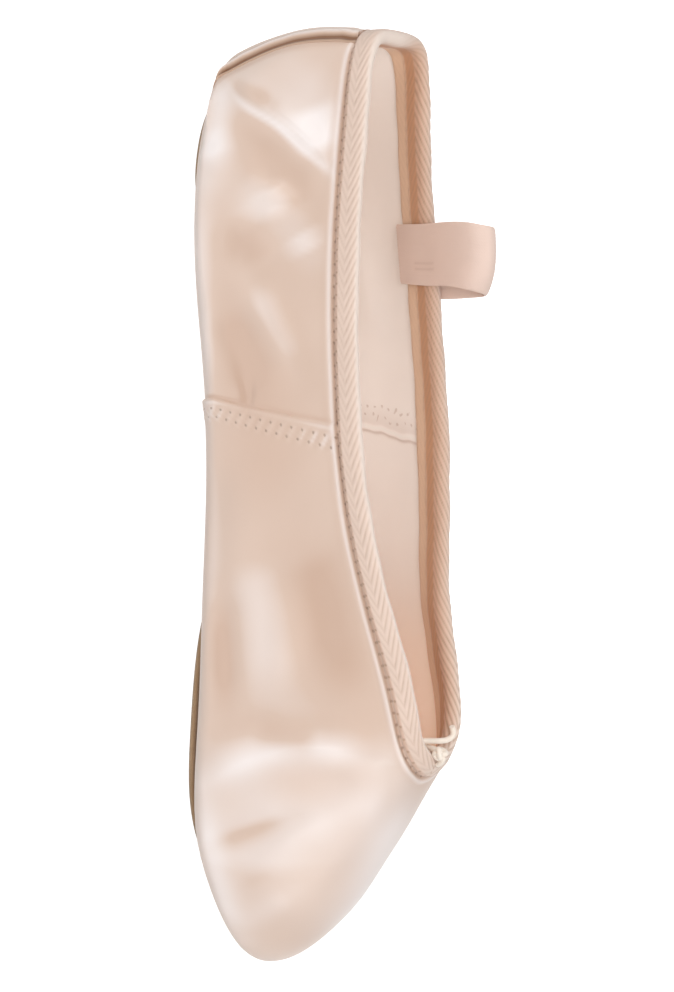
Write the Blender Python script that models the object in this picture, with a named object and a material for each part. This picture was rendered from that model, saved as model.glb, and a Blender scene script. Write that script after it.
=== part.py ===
"""A soft split-sole ballet shoe for the left foot, standing empty on its two sole patches.

X runs from heel to toe, Y to the wearer's left (the outer side of the foot) and Z up, in metres.
The origin is on the floor, under the middle of the heel patch.

The upper is one surface, worked out from ribs. A rib starts on the keel under the foot, runs out
along the underside, turns up round the bottom edge and climbs the side to the topline. In the
vamp the ribs start at the toe and run back over the toes to the throat. Every other piece that
lies on the upper is an offset of that same surface.
"""

import math
from collections import namedtuple
from functools import lru_cache

import bmesh
import bpy
import numpy as np
from mathutils import Vector

MM = 0.001

# Driving sizes, in millimetres
LENGTH = 238.5
BALL_WIDTH = 67.0
INSTEP_HEIGHT = 54.5  # topline of the upper over the floor, at the throat
HEEL_HEIGHT = 48.0  # and at the heel
HEEL_BACK = -0.125 * LENGTH  # X of the heel, so that the origin is under the heel patch

# Thicknesses and the gap that keeps touching pieces apart
GAP = 0.3
WALL = 1.4
PATCH = 1.5
INSOLE = 1.6
TAPE = 0.9
STRIP = 1.0
ELASTIC = 1.1
LAP = 0.8  # how far the front panel's folded edge stands up over the quarter
UNDERSIDE = PATCH + GAP  # height of the satin over the floor where a patch lies under it

# Each row is a rib on the near (inner) side and its partner on the far (outer) side.
# along: how far from heel to toe, in percent of LENGTH.
# near, far: half widths, in percent of half the ball width.
# rise: how far the underside is lifted off the patches, in mm.
# top_along, top_near, top_far: the same for the topline.
# top: topline height, in percent of a height that goes from the heel's to the instep's.
# lean: slope of the wall where it meets the topline, in degrees.
# belly: how far the wall swells above the bottom edge, in mm.
# swell: how steeply the rib sets off, as a share of its height.
Section = namedtuple(
    "Section", "name along near far rise top_along top_near top_far top lean belly swell"
)
SECTIONS = [
    Section("heel back", 0.5, 0, 0, 0.3, 0.6, 0, 0, 100, 88, 1.8, 0.36),
    Section("heel round", 2.9, 49, 48, 0.1, 1.6, 37, 37, 100, 86, 1.5, 0.36),
    Section("heel side", 9.6, 82, 80, 0.0, 9.4, 50, 48, 98, 80, 1.0, 0.36),
    Section("heel front", 20.8, 96, 93, 0.0, 22.0, 60, 60, 96, 76, 0.5, 0.36),
    Section("waist back", 33.5, 90, 93, 1.0, 37.0, 68, 68, 95, 75, 0.0, 0.36),
    Section("waist", 46.0, 86, 95, 1.4, 50.2, 65, 62, 94.5, 74, 0.0, 0.36),
    Section("waist front", 59.5, 88, 100, 0.2, 61.0, 50, 45, 97, 66, 0.0, 0.36),
    Section("ball", 74.0, 97, 101, 0.0, 70.2, 36, 38, 102, 56, 0.0, 0.34),
    Section("toe side", 85.5, 99, 79, 0.0, 75.0, 25, 36, 102, 44, 0.0, 0.36),
    Section("toe round", 92.8, 77, 51, 0.7, 77.0, 14, 28, 101, 34, 0.0, 0.37),
    Section("toe curve", 97.8, 49, 23, 1.6, 77.9, 4, 18, 100, 31, 0.0, 0.37),
    Section("toe tip", 100.0, 11, -10, 2.0, 78.3, -7, 7, 99, 30, 0.0, 0.37),
]
CORNER_OUT, CORNER_UP = 11.0, 7.5  # the rounded bottom edge, across and up
TOE_CORNER_OUT, TOE_CORNER_UP = 7.0, 5.0
TOE_FROM = 0.80  # where along the shoe the bottom edge starts to tighten
COMB = 0.34  # how long a rib's upper handle is, as a share of its length


# ---------------------------------------------------------------- the last, as ribs


def two_sides(near, far, along):
    """The places that far along on the near and the far side: X and Y of each."""
    x = HEEL_BACK + along / 100 * LENGTH
    half = BALL_WIDTH / 2 / 100
    return (x, -near * half), (x, far * half)


def height_here(along):
    """The height that runs from the heel's to the instep's."""
    share = min(max((along - 20) / 60, 0), 1)
    share = share * share * (3 - 2 * share)
    return HEEL_HEIGHT + (INSTEP_HEIGHT - HEEL_HEIGHT) * share


def rib_rows():
    """One row of numbers for each rib, from the heel along the near side to the toe and back."""
    near, far = [], []
    for s in SECTIONS:
        feet = two_sides(s.near, s.far, s.along)
        tops = two_sides(s.top_near, s.top_far, s.top_along)
        height = s.top / 100 * height_here(s.top_along)
        toe = min(max((s.along / 100 - TOE_FROM) / (1 - TOE_FROM), 0), 1)
        out = CORNER_OUT + (TOE_CORNER_OUT - CORNER_OUT) * toe
        up = CORNER_UP + (TOE_CORNER_UP - CORNER_UP) * toe
        rest = [UNDERSIDE + s.rise, out, up, height, s.lean, s.belly, s.swell]
        for side, foot, top in ((near, feet[0], tops[0]), (far, feet[1], tops[1])):
            side.append([*foot, *top, *rest])
    return np.array(near + far[-2:0:-1])


def closed_spline(knots, rows):
    """A smooth closed line through the rows, one at each knot; the last knot is the first row again."""
    step = np.diff(knots)
    count = len(step)
    rise = (np.roll(rows, -1, axis=0) - rows) / step[:, None]
    matrix = np.zeros((count, count))
    right = np.zeros_like(rows)
    for i in range(count):
        before, after = 1 / step[i - 1], 1 / step[i]
        matrix[i, i] = 2 * (before + after)
        matrix[i, i - 1] += before
        matrix[i, (i + 1) % count] += after
        right[i] = 3 * (rise[i - 1] * before + rise[i] * after)
    slope = np.linalg.solve(matrix, right)

    def at(knot):
        i = min(int(np.searchsorted(knots, knot, side="right")) - 1, count - 1)
        h, u = step[i], (knot - knots[i]) / step[i]
        a, b = rows[i], rows[(i + 1) % count]
        return (
            a * (1 + 2 * u) * (1 - u) ** 2
            + b * u * u * (3 - 2 * u)
            + slope[i] * h * u * (1 - u) ** 2
            - slope[(i + 1) % count] * h * u * u * (1 - u)
        )

    return at


ROWS = rib_rows()
FEET = np.vstack([ROWS[:, :2], ROWS[:1, :2]])
KNOTS = np.concatenate([[0], np.cumsum(np.linalg.norm(np.diff(FEET, axis=0), axis=1))])
LINE = closed_spline(KNOTS, ROWS)
Rib = namedtuple("Rib", "edge foot low high top")


def knot(t):
    """How far round the foot line t is, in millimetres."""
    return float(np.interp((t % 1.0) * len(ROWS), range(len(KNOTS)), KNOTS))


def raw_rib(t):
    return LINE(knot(t))


def level(x, y, z):
    return np.array([x, y, z], float)


def inward(t, columns):
    """The level direction into the shoe, square to a line round it."""
    ahead, behind = raw_rib(t + 0.004), raw_rib(t - 0.004)
    dx, dy = (ahead - behind)[list(columns)]
    return level(-dy, dx, 0) / math.hypot(dx, dy)


@lru_cache(maxsize=None)
def rib(t):
    """The rib at t: 0 is the back of the heel, 0.5 the toe, 0 to 0.5 the near side."""
    x, y, top_x, top_y, under, out, up, height, lean, belly, swell = raw_rib(t)
    under = max(under, UNDERSIDE)
    foot, top = level(x, y, under + up), level(top_x, top_y, height)
    at_foot, at_top = inward(t, (0, 1)), inward(t, (2, 3))
    climb = top - foot
    long = float(np.linalg.norm(climb))
    slope = math.radians(lean)
    low = foot + (climb - at_foot * (climb @ at_foot)) * swell - at_foot * belly
    forward = level(at_top[1], -at_top[0], 0)
    arrive = at_top * math.cos(slope) + level(0, 0, math.sin(slope))
    high = top - arrive * COMB * long - forward * (climb @ forward) * COMB
    return Rib(foot + at_foot * out - level(0, 0, up), foot, low, high, top)


KEEL_BACK, KEEL_FRONT = HEEL_BACK + 0.13 * LENGTH, HEEL_BACK + 0.85 * LENGTH


def keel(t):
    """Where the rib starts: midway between its own bottom edge and its partner's."""
    middle = (rib(t).edge + rib(1 - t).edge) / 2
    middle[0] = min(max(middle[0], KEEL_BACK), KEEL_FRONT)
    return middle


def surface(t, s):
    """A point on the outside of the upper: s is 0 at the keel, 1 at the bottom edge, 2 at the foot
    of the wall and 3 at the topline."""
    t = round(t % 1.0, 9)
    r = rib(t)
    if s <= 1:
        return keel(t) + (r.edge - keel(t)) * s
    if s <= 2:
        turn = (s - 1) * math.pi / 2
        out = level(*(r.foot - r.edge)[:2], 0)
        return r.edge + out * math.sin(turn) + level(0, 0, r.foot[2] - r.edge[2]) * (1 - math.cos(turn))
    u = s - 2
    return (
        r.foot * (1 - u) ** 3
        + r.low * 3 * u * (1 - u) ** 2
        + r.high * 3 * u * u * (1 - u)
        + r.top * u**3
    )


def outward(t, s):
    """The direction out of the upper at (t, s)."""
    if s < 0.02:
        return level(0, 0, -1)
    near, step = 0.002, 0.01
    high = min(s + step, 3.0)
    round_it = surface(t + near, s) - surface(t - near, s)
    up_it = surface(t, high) - surface(t, high - 2 * step)
    normal = np.cross(round_it, up_it)
    return normal / np.linalg.norm(normal)


def offset(t, s, depth):
    """A point depth outside the upper, or inside it where depth is negative."""
    return surface(t, s) + outward(t, s) * depth


@lru_cache(maxsize=None)
def wall_lengths(t):
    """How far along the rib each of 33 places on the wall is from the topline, going down."""
    places = np.linspace(3, 2, 33)
    points = [surface(t, s) for s in places]
    steps = [np.linalg.norm(b - a) for a, b in zip(points, points[1:])]
    return places, np.concatenate([[0], np.cumsum(steps)])


def below_topline(t, distance):
    """The s that lies that far below the topline, measured along the wall."""
    places, lengths = wall_lengths(round(t % 1.0, 9))
    return float(np.interp(distance, lengths, places))


# ---------------------------------------------------------------- meshes


def new_object(name, bm, color, roughness):
    """A named object in the shoe's collection, with its own material."""
    bmesh.ops.remove_doubles(bm, verts=bm.verts, dist=0.02 * MM)
    bmesh.ops.recalc_face_normals(bm, faces=bm.faces)
    mesh = bpy.data.meshes.new(name)
    bm.to_mesh(mesh)
    bm.free()
    thing = bpy.data.objects.new(name, mesh)
    SHOE.objects.link(thing)
    mesh.shade_smooth()
    mesh.set_sharp_from_angle(angle=math.radians(40))
    mesh.materials.append(plain_material(name, color, roughness))
    return thing


def plain_material(name, color, roughness):
    material = bpy.data.materials.new(name)
    material.use_nodes = True
    shader = material.node_tree.nodes["Principled BSDF"]
    shader.inputs["Base Color"].default_value = (*color, 1)
    shader.inputs["Roughness"].default_value = roughness
    shader.inputs["Metallic"].default_value = 0
    return material


def add_grid(bm, rows, close_columns=False, close_rows=False):
    """Faces between rows of points in millimetres; each row has the same number of points."""
    verts = [[bm.verts.new(Vector(p) * MM) for p in row] for row in rows]
    row_pairs = list(zip(verts, verts[1:])) + ([(verts[-1], verts[0])] if close_rows else [])
    for a, b in row_pairs:
        count = len(a) if close_columns else len(a) - 1
        for i in range(count):
            j = (i + 1) % len(a)
            bm.faces.new((a[i], a[j], b[j], b[i]))
    return verts


def sweep(name, sections, color, roughness, closed=False):
    """A solid from closed cross sections, joined one to the next, with flat ends if it is open."""
    bm = bmesh.new()
    verts = add_grid(bm, sections, close_columns=True, close_rows=closed)
    if not closed:
        bm.faces.new(verts[0])
        bm.faces.new(verts[-1])
    return new_object(name, bm, color, roughness)


def outline_solid(name, outline, bottom, height, color, roughness, soft=0.3):
    """A flat piece of that outline and height, with its edges eased by soft."""
    curve = bpy.data.curves.new(name, "CURVE")
    curve.dimensions, curve.fill_mode = "2D", "BOTH"
    curve.extrude, curve.bevel_depth = (height / 2 - soft) * MM, soft * MM
    curve.bevel_resolution, curve.offset = 0, -soft * MM
    spline = curve.splines.new("POLY")
    spline.points.add(len(outline) - 1)
    for point, (x, y) in zip(spline.points, outline):
        point.co = (x * MM, y * MM, 0, 1)
    spline.use_cyclic_u = True
    thing = bpy.data.objects.new(name, curve)
    thing.location.z = (bottom + height / 2) * MM
    curve.materials.append(plain_material(name, color, roughness))
    return thing


# ---------------------------------------------------------------- soles, insoles and their holes

# Each pair of a sole patch and the pad over it: the X of the ends, and how far the edge lies
# inside the foot line
Patch = namedtuple("Patch", "name ends inset pad_ends pad_inset")
PATCHES = [
    Patch("heel", (-20.0, 20.0), 9.8, (-16.5, 18.0), 11.6),
    Patch("forefoot", (106.0, 192.0), 6.6, (110.0, 181.5), 9.0),
]
HOLE_INSET = 6.0  # from the patch's edge
CUT_FROM, CUT_HEIGHT = -2.0, 9.0  # the cutter's own bottom and height
OUTLINE_POINTS = 44
SQUARENESS = 0.76


def foot_line(x, side):
    """Y of the foot line at X, on the near side (-1) or the far one (1)."""
    places = np.linspace(0, 0.5, 200)
    feet = [raw_rib(t if side < 0 else 1 - t)[:2] for t in places]
    return float(np.interp(x, [f[0] for f in feet], [f[1] for f in feet]))


def patch_outline(ends, inset):
    """A rounded outline between two X, that far inside the foot line."""
    back, front = ends
    half = (front - back) / 2
    points = []
    for i in range(OUTLINE_POINTS):
        turn = 2 * math.pi * (i + 0.5) / OUTLINE_POINTS
        c, s = math.cos(turn), math.sin(turn)
        x = (back + front) / 2 - half * math.copysign(abs(c) ** SQUARENESS, c)
        near, far = foot_line(x, -1) + inset, foot_line(x, 1) - inset
        y = (near + far) / 2 - (far - near) / 2 * math.copysign(abs(s) ** SQUARENESS, s)
        points.append((x, y))
    return points


def make_soles():
    inside = UNDERSIDE + WALL + GAP + 0.2
    for patch in PATCHES:
        sole = patch_outline(patch.ends, patch.inset)
        pad = patch_outline(patch.pad_ends, patch.pad_inset)
        suede, cotton = (0.42, 0.27, 0.19), (0.86, 0.74, 0.66)
        SHOE.objects.link(outline_solid("outsole_" + patch.name, sole, 0, PATCH, suede, 0.95))
        SHOE.objects.link(outline_solid("insole_" + patch.name, pad, inside, INSOLE, cotton, 0.9))


def cut_holes(upper):
    """The holes under the foot, which the patches close from below."""
    for patch in PATCHES:
        ends = patch.ends[0] + HOLE_INSET, patch.ends[1] - HOLE_INSET
        hole = patch_outline(ends, patch.inset + HOLE_INSET)
        flat = outline_solid("hole_" + patch.name, hole, CUT_FROM, CUT_HEIGHT, (1, 1, 1), 1, soft=0)
        GUIDES.objects.link(flat)
        bpy.context.view_layer.update()
        graph = bpy.context.evaluated_depsgraph_get()
        mesh = bpy.data.meshes.new_from_object(flat.evaluated_get(graph))
        bm = bmesh.new()
        bm.from_mesh(mesh)
        bmesh.ops.remove_doubles(bm, verts=bm.verts, dist=0.01 * MM)
        bm.to_mesh(mesh)
        bm.free()
        cutter = bpy.data.objects.new(patch.name + "_hole", mesh)
        cutter.matrix_world = flat.matrix_world
        cutter.hide_render, cutter.display_type = True, "WIRE"
        GUIDES.objects.link(cutter)
        bpy.data.objects.remove(flat)
        cut = upper.modifiers.new(patch.name, "BOOLEAN")
        cut.operation, cut.solver, cut.object = "DIFFERENCE", "EXACT", cutter


# ---------------------------------------------------------------- the upper

COLUMNS = 88
UNDER_ROWS = (0.0, 0.45, 0.8)
CORNER_ROWS = (1.0, 1.35, 1.7)
WALL_ROWS = tuple(2 + i / 9 for i in range(10))
SEAM = 4.52 / len(ROWS)  # the arch seam is the rib at this t, and its partner on the far side
SEAM_STEP = 0.5  # mm along the shoe in which the lap rises
LAP_WIDTH = 9.0  # mm over which the folded edge thins out again


def seam_height(t):
    """How far the outside stands up at t: the folded edge of the front panel, thinning out forwards."""
    t = t % 1.0
    if min(t, 1 - t) <= SEAM + 1e-9:
        return 0.0
    ahead = min(knot(t) - knot(SEAM), knot(1 - SEAM) - knot(t))
    return LAP * max(1 - ahead / LAP_WIDTH, 0.25)


def upper_columns():
    """The t of each column, with two close together at each seam for the step."""
    columns = [i / COLUMNS for i in range(COLUMNS)]
    step = SEAM_STEP / KNOTS[-1]
    for edge in (SEAM, 1 - SEAM):
        columns = [t for t in columns if abs(t - edge) > 1.5 * step]
    near = [SEAM, SEAM + step]
    return sorted(columns + near + [1 - t for t in near])


def make_upper():
    """The wall: an outer and an inner skin, joined along the topline."""
    bm = bmesh.new()
    places = UNDER_ROWS + CORNER_ROWS + WALL_ROWS
    outer, inner = [], []
    for t in upper_columns():
        outer.append([offset(t, s, seam_height(t) if s > 0 else 0) for s in places])
        inner.append([offset(t, s, -WALL) for s in places])
    loops = [a + b[::-1] for a, b in zip(outer, inner)]
    add_grid(bm, loops, close_rows=True)
    return new_object("upper", bm, (0.80, 0.62, 0.52), 0.45)


# ---------------------------------------------------------------- trim on the upper

OUT_FLAP, IN_FLAP = 3.7, 7.8  # how far the tape reaches down outside and inside
TAPE_ENDS = 0.5 - 0.010, 0.5 + 0.006  # the throat, where the tape's ends leave a gap
CROWN_STEPS = 4


def over_topline(t, around, radius, middle):
    """A point on a half circle over the topline: around is 0 outside and pi inside."""
    up = surface(t, 3) - surface(t, 2.97)
    up /= np.linalg.norm(up)
    side = middle + radius * math.cos(around)
    return surface(t, 3) + outward(t, 3) * side + up * radius * math.sin(around)


def under_tape(t):
    """The height of the seam that the tape clears: it is lifted a little before the step."""
    reach = 3 * SEAM_STEP / KNOTS[-1]
    return max(seam_height(t + shift) for shift in (-reach, 0, reach))


def binding_section(t):
    """The tape folded over the collar edge: outside, over, inside and back."""
    clear = under_tape(t) + GAP
    skins = []
    for thick in (TAPE, 0.0):
        outer, inner = clear + thick, -WALL - GAP - thick
        middle, radius = (outer + inner) / 2, (outer - inner) / 2
        down = [offset(t, below_topline(t, OUT_FLAP * i / 2), outer) for i in (2, 1)]
        turns = [math.pi * i / CROWN_STEPS for i in range(CROWN_STEPS + 1)]
        over = [over_topline(t, turn, radius, middle) for turn in turns]
        inside = [offset(t, below_topline(t, IN_FLAP * i / 2), inner) for i in (1, 2)]
        skins.append(down + over + inside)
    return skins[0] + skins[1][::-1]


def tape_columns():
    """The upper's own columns from the tape's one end round the heel to the other."""
    step = SEAM_STEP / KNOTS[-1]
    lifts = [SEAM - 2 * step, SEAM + step, 1 - SEAM - step, 1 - SEAM + 2 * step]
    ends = [TAPE_ENDS[0], TAPE_ENDS[1] - 1]
    plain = [t - (t > 0.5) for t in upper_columns()]
    inside = [t for t in plain if ends[1] + 2 * step < t < ends[0] - 2 * step]
    clear = [t for t in inside if min(abs(t % 1 - lift) for lift in lifts) > 1.5 * step]
    return sorted(clear + ends + [t - (t > 0.5) for t in lifts])


def make_binding():
    sections = [binding_section(t) for t in tape_columns()]
    sweep("topline_binding", sections, (0.80, 0.66, 0.57), 0.85)


STRIP_WIDTH = 7.5
STRIP_TOP_T, STRIP_FOOT_T = 0.028, 0.050  # the seam bends to the near side on its way down
STRIP_FOOT_S = 1.6
STRIP_ROWS, STRIP_ACROSS = 14, 6


def make_back_strip():
    """The folded strip over the back seam, from the bottom edge up to the tape."""
    top = below_topline(STRIP_TOP_T, OUT_FLAP + GAP)
    sections = []
    for i in range(STRIP_ROWS + 1):
        up = i / STRIP_ROWS
        s = STRIP_FOOT_S + (top - STRIP_FOOT_S) * up
        middle = STRIP_TOP_T + (STRIP_FOOT_T - STRIP_TOP_T) * (1 - up) ** 2
        pace = np.linalg.norm(surface(middle + 0.002, s) - surface(middle - 0.002, s)) / 0.004
        across = [middle + STRIP_WIDTH / pace * (j / STRIP_ACROSS - 0.5) for j in range(STRIP_ACROSS + 1)]
        skins = [[offset(t, s, GAP + STRIP * k) for t in across] for k in (1, 0)]
        sections.append(skins[0] + skins[1][::-1])
    sweep("back_seam_strip", sections, (0.80, 0.62, 0.52), 0.45)


ELASTIC_WIDTH = 16.0
ELASTIC_X = 26.0  # the middle of the elastic along the shoe
LOOP_HEIGHT, LOOP_RADIUS = 22.5, 4.2  # how far the loop stands over the topline, and its round top
SEWN_IN, SEWN_OUT = 8.4, 10.0  # how far down the ends are sewn
SKEW = 5.0  # how far forward the outer end is sewn
SKEW_UP, SKEW_OVER, SKEW_DOWN, SKEW_LOW, SKEW_TAPE = 0.2, 0.6, 1.8, 3.4, 4.0  # and on the way there
ELASTIC_ACROSS, TURN_STEPS = 5, 6
ROWS_INSIDE, ROWS_OUTSIDE = (-6.0, -3.0, 0.0, 3.0), (2.0, -1.0, -4.0)  # heights over the topline
LEG, BOW = 0.6, 0.3  # where each leg has its row, as a share of its height, and how far it bows out
ON_TAPE, OFF_TAPE = 0.4, 1.6  # how far below the tape's edge the elastic starts to come down off it
TAPE_SPARE = 0.1  # how much further from the tape it lies outside


def far_t(x):
    """The rib on the far side whose topline is at X."""
    places = np.linspace(0.55, 0.999, 300)[::-1]
    return float(np.interp(x, [raw_rib(t)[2] for t in places], places))


def elastic_path():
    """Height over the topline, middle of the thickness outward of the wall, and skew, row by row."""
    inside, outside = -WALL - GAP - ELASTIC / 2, GAP + ELASTIC / 2
    on_tape_in, on_tape_out = inside - TAPE - GAP, outside + TAPE + GAP + TAPE_SPARE
    rows = [(h, on_tape_in, 0.0) for h in (-SEWN_IN, *ROWS_INSIDE)]
    middle, reach = (on_tape_in + on_tape_out) / 2, LOOP_RADIUS
    turn_at = LOOP_HEIGHT - reach - ELASTIC / 2
    leg = turn_at * LEG
    rows += [(leg, middle - reach - BOW, SKEW_UP)]
    for i in range(TURN_STEPS + 1):
        turn = math.pi * i / TURN_STEPS
        height, side = turn_at + reach * math.sin(turn), middle - reach * math.cos(turn)
        rows.append((height, side, SKEW_UP + SKEW_OVER * i / TURN_STEPS))
    rows += [(leg, middle + reach + BOW, SKEW_DOWN), (ROWS_OUTSIDE[0], on_tape_out, SKEW_LOW)]
    rows += [(h, on_tape_out, SKEW_TAPE) for h in (*ROWS_OUTSIDE[1:], -OUT_FLAP - ON_TAPE)]
    return rows + [(-OUT_FLAP - OFF_TAPE, outside, SKEW), (-SEWN_OUT, outside, SKEW)]


def make_elastic():
    """One loop of elastic over the far side, an end sewn inside and the other outside."""
    path = elastic_path()
    flat = [np.array([h, side]) for h, side, _ in path]
    sections = []
    for i, (height, side, skew) in enumerate(path):
        ahead = flat[min(i + 1, len(flat) - 1)] - flat[max(i - 1, 0)]
        across_thickness = np.array([-ahead[1], ahead[0]]) / np.linalg.norm(ahead) * ELASTIC / 2
        skins = []
        for face in (1, -1):
            h, out = np.array([height, side]) + across_thickness * face
            if height < -IN_FLAP or (side > 0 and height < -OUT_FLAP):
                h, out = height, side + face * math.copysign(ELASTIC / 2, across_thickness[1] or 1)
            skin = []
            for j in range(ELASTIC_ACROSS):
                x = ELASTIC_X + skew + ELASTIC_WIDTH * (j / (ELASTIC_ACROSS - 1) - 0.5)
                skin.append(beside_topline(far_t(x), h, out))
            skins.append(skin)
        sections.append(skins[0] + skins[1][::-1])
    sweep("elastic_loop", sections, (0.80, 0.64, 0.57), 0.8)


def beside_topline(t, height, out):
    """A point height over the topline (or below it, along the wall) and out from the wall."""
    if height <= 0:
        return offset(t, below_topline(t, -height), out)
    up = surface(t, 3) - surface(t, 2.97)
    up /= np.linalg.norm(up)
    return surface(t, 3) + outward(t, 3) * out + up * height


# The drawstring where it leaves the casing at the throat, measured from the throat's front:
# forward, to the far side and up, in mm.
CORD = 1.5
ROUTE = [
    (0.5, 0.0, 2.1),
    (-0.2, -0.6, 3.5),
    (-1.2, -1.2, 4.3),
    (-2.4, -1.6, 3.7),
    (-3.4, -1.5, 2.4),
    (-3.8, -0.7, 0.2),
    (-4.4, -0.5, -1.8),
    (-4.9, -1.3, -3.5),
    (-5.4, -2.7, -3.8),
    (-5.6, -3.4, -2.3),
    (-5.6, -2.3, -0.6),
    (-5.5, -0.2, 0.7),
    (-5.4, 2.2, 1.7),
    (-5.5, 4.3, 2.4),
    (-6.2, 5.9, 3.0),
    (-7.5, 6.2, 3.3),
    (-8.9, 5.4, 3.4),
]
KNOT_RING, KNOT_ROUND = 1.65, 0.5  # the two radii of the knot, which lies round the cord
KNOT_AT = 3.0  # where on the route the knot sits, counted in its points


def smooth_route(points, steps):
    """Points along a Catmull-Rom curve through the route's own points."""
    p = [np.array(q, float) for q in points]
    p = [2 * p[0] - p[1]] + p + [2 * p[-1] - p[-2]]
    line = []
    for a, b, c, d in zip(p, p[1:], p[2:], p[3:]):
        for i in range(steps):
            u = i / steps
            line.append(0.5 * (2 * b + (c - a) * u + (2 * a - 5 * b + 4 * c - d) * u * u
                               + (3 * b - a - 3 * c + d) * u**3))
    return line + [p[-2]]


def make_drawstring():
    throat = surface(sum(TAPE_ENDS) / 2, 3)
    line = [throat + q for q in smooth_route(ROUTE, 2)]
    curve = bpy.data.curves.new("drawstring", "CURVE")
    curve.dimensions, curve.bevel_depth = "3D", CORD / 2 * MM
    curve.bevel_resolution, curve.use_fill_caps = 2, True
    spline = curve.splines.new("POLY")
    spline.points.add(len(line) - 1)
    for point, place in zip(spline.points, line):
        point.co = (*(Vector(place) * MM), 1)
    cord = bpy.data.objects.new("drawstring", curve)
    curve.materials.append(plain_material("drawstring", (0.87, 0.78, 0.70), 0.8))
    SHOE.objects.link(cord)
    i = int(KNOT_AT * 2)
    middle, ahead = line[i], line[i + 1] - line[i - 1]
    bpy.ops.mesh.primitive_torus_add(
        major_radius=KNOT_RING * MM,
        minor_radius=KNOT_ROUND * MM,
        major_segments=14,
        minor_segments=8,
        location=Vector(middle) * MM,
        rotation=Vector(ahead).to_track_quat("Z", "Y").to_euler(),
    )
    knot_piece = bpy.context.object
    knot_piece.name = knot_piece.data.name = "drawstring_knot"
    for owner in list(knot_piece.users_collection):
        owner.objects.unlink(knot_piece)
    SHOE.objects.link(knot_piece)
    knot_piece.data.materials.append(plain_material("drawstring_knot", (0.87, 0.78, 0.70), 0.8))


# ---------------------------------------------------------------- build


def new_collection(name):
    group = bpy.data.collections.new(name)
    bpy.context.scene.collection.children.link(group)
    return group


for old in list(bpy.data.objects):
    bpy.data.objects.remove(old)
SHOE, GUIDES = new_collection("ballet_shoe"), new_collection("cutters")
cut_holes(make_upper())
make_soles()
make_binding()
make_back_strip()
make_elastic()
make_drawstring()
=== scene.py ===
# %% [markdown]
# # A soft ballet slipper in satin
#
# This notebook dresses a plain model of a split-sole ballet slipper with its real surfaces: satin
# with folds, a herringbone collar tape, a cotton lining, suede soles, elastic and a drawstring.
# The plain model is the frame. Everything is in its place already, so each cell only asks where
# a piece is and makes a finer one there.
#
# X runs from heel to toe, Y to the wearer's left and Z up. Lengths in the cells are millimetres,
# because a shoemaker thinks in them, and they become metres when a mesh is made.

# %% Load the frame
import math
from collections import namedtuple
from functools import lru_cache

import bmesh
import bpy
import numpy as np
from mathutils import Matrix, Vector


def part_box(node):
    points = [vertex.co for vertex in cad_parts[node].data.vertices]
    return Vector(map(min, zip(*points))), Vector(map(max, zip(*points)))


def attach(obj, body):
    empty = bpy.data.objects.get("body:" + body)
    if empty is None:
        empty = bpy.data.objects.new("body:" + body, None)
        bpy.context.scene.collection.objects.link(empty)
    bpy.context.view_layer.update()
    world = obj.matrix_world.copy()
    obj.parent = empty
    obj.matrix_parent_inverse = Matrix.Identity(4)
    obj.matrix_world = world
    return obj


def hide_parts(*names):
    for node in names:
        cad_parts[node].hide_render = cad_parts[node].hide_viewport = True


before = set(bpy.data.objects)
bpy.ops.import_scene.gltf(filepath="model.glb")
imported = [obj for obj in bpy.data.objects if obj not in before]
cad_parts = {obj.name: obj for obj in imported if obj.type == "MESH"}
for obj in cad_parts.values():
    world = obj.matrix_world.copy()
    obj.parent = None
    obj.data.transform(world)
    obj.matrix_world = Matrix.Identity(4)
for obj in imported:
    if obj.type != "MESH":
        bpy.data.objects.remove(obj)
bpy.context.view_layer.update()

MM = 0.001
print("the frame's pieces:", ", ".join(sorted(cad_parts)))

# %% [markdown]
# ## Camera, floor and light
#
# A slipper like this is shown lying in a light tent: white all round, one large soft light above
# and a weaker one beside the camera. The camera looks down on the inner side of the shoe and is
# rolled until the shoe stands upright in the picture, heel at the top. A long lens, a good arm's
# length away, keeps the heel and the toe in true proportion.

# %% Camera
LOOK_AT = Vector((0.0887, 0.0, 0.0286))
CAMERA_AWAY = 0.9
CAMERA_HEIGHT = math.radians(31)
CAMERA_ROLL = math.radians(0.84)
LENS = 126.6


def make_camera():
    """A camera that looks down on the shoe's near side, rolled so that the heel is at the top."""
    forward = Vector((0, math.cos(CAMERA_HEIGHT), -math.sin(CAMERA_HEIGHT)))
    along_shoe = Vector((1, 0, 0))
    up = along_shoe.cross(forward)
    picture_right = up * math.cos(CAMERA_ROLL) + along_shoe * math.sin(CAMERA_ROLL)
    picture_down = along_shoe * math.cos(CAMERA_ROLL) - up * math.sin(CAMERA_ROLL)
    camera = bpy.data.objects.new("camera", bpy.data.cameras.new("camera"))
    turn = Matrix((picture_right, -picture_down, -forward)).transposed().to_4x4()
    camera.matrix_world = Matrix.Translation(LOOK_AT - forward * CAMERA_AWAY) @ turn
    camera.data.lens = LENS
    camera.data.clip_start, camera.data.clip_end = 0.01, 20
    bpy.context.scene.collection.objects.link(camera)
    bpy.context.scene.camera = camera
    print("the camera is", round(camera.location.z, 2), "m over the floor")


make_camera()


# %% Small helpers for materials
def new_material(name, color, roughness, **values):
    """A Principled material with plain values on the shader's own sockets."""
    material = bpy.data.materials.new(name)
    material.use_nodes = True
    shader = material.node_tree.nodes["Principled BSDF"]
    shader.inputs["Base Color"].default_value = (*color, 1)
    shader.inputs["Roughness"].default_value = roughness
    for socket, value in values.items():
        shader.inputs[socket.replace("_", " ")].default_value = value
    return material


def wire(tree, start, end):
    """Links (node, output) to (node, input), both by name."""
    tree.links.new(start[0].outputs[start[1]], end[0].inputs[end[1]])


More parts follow.
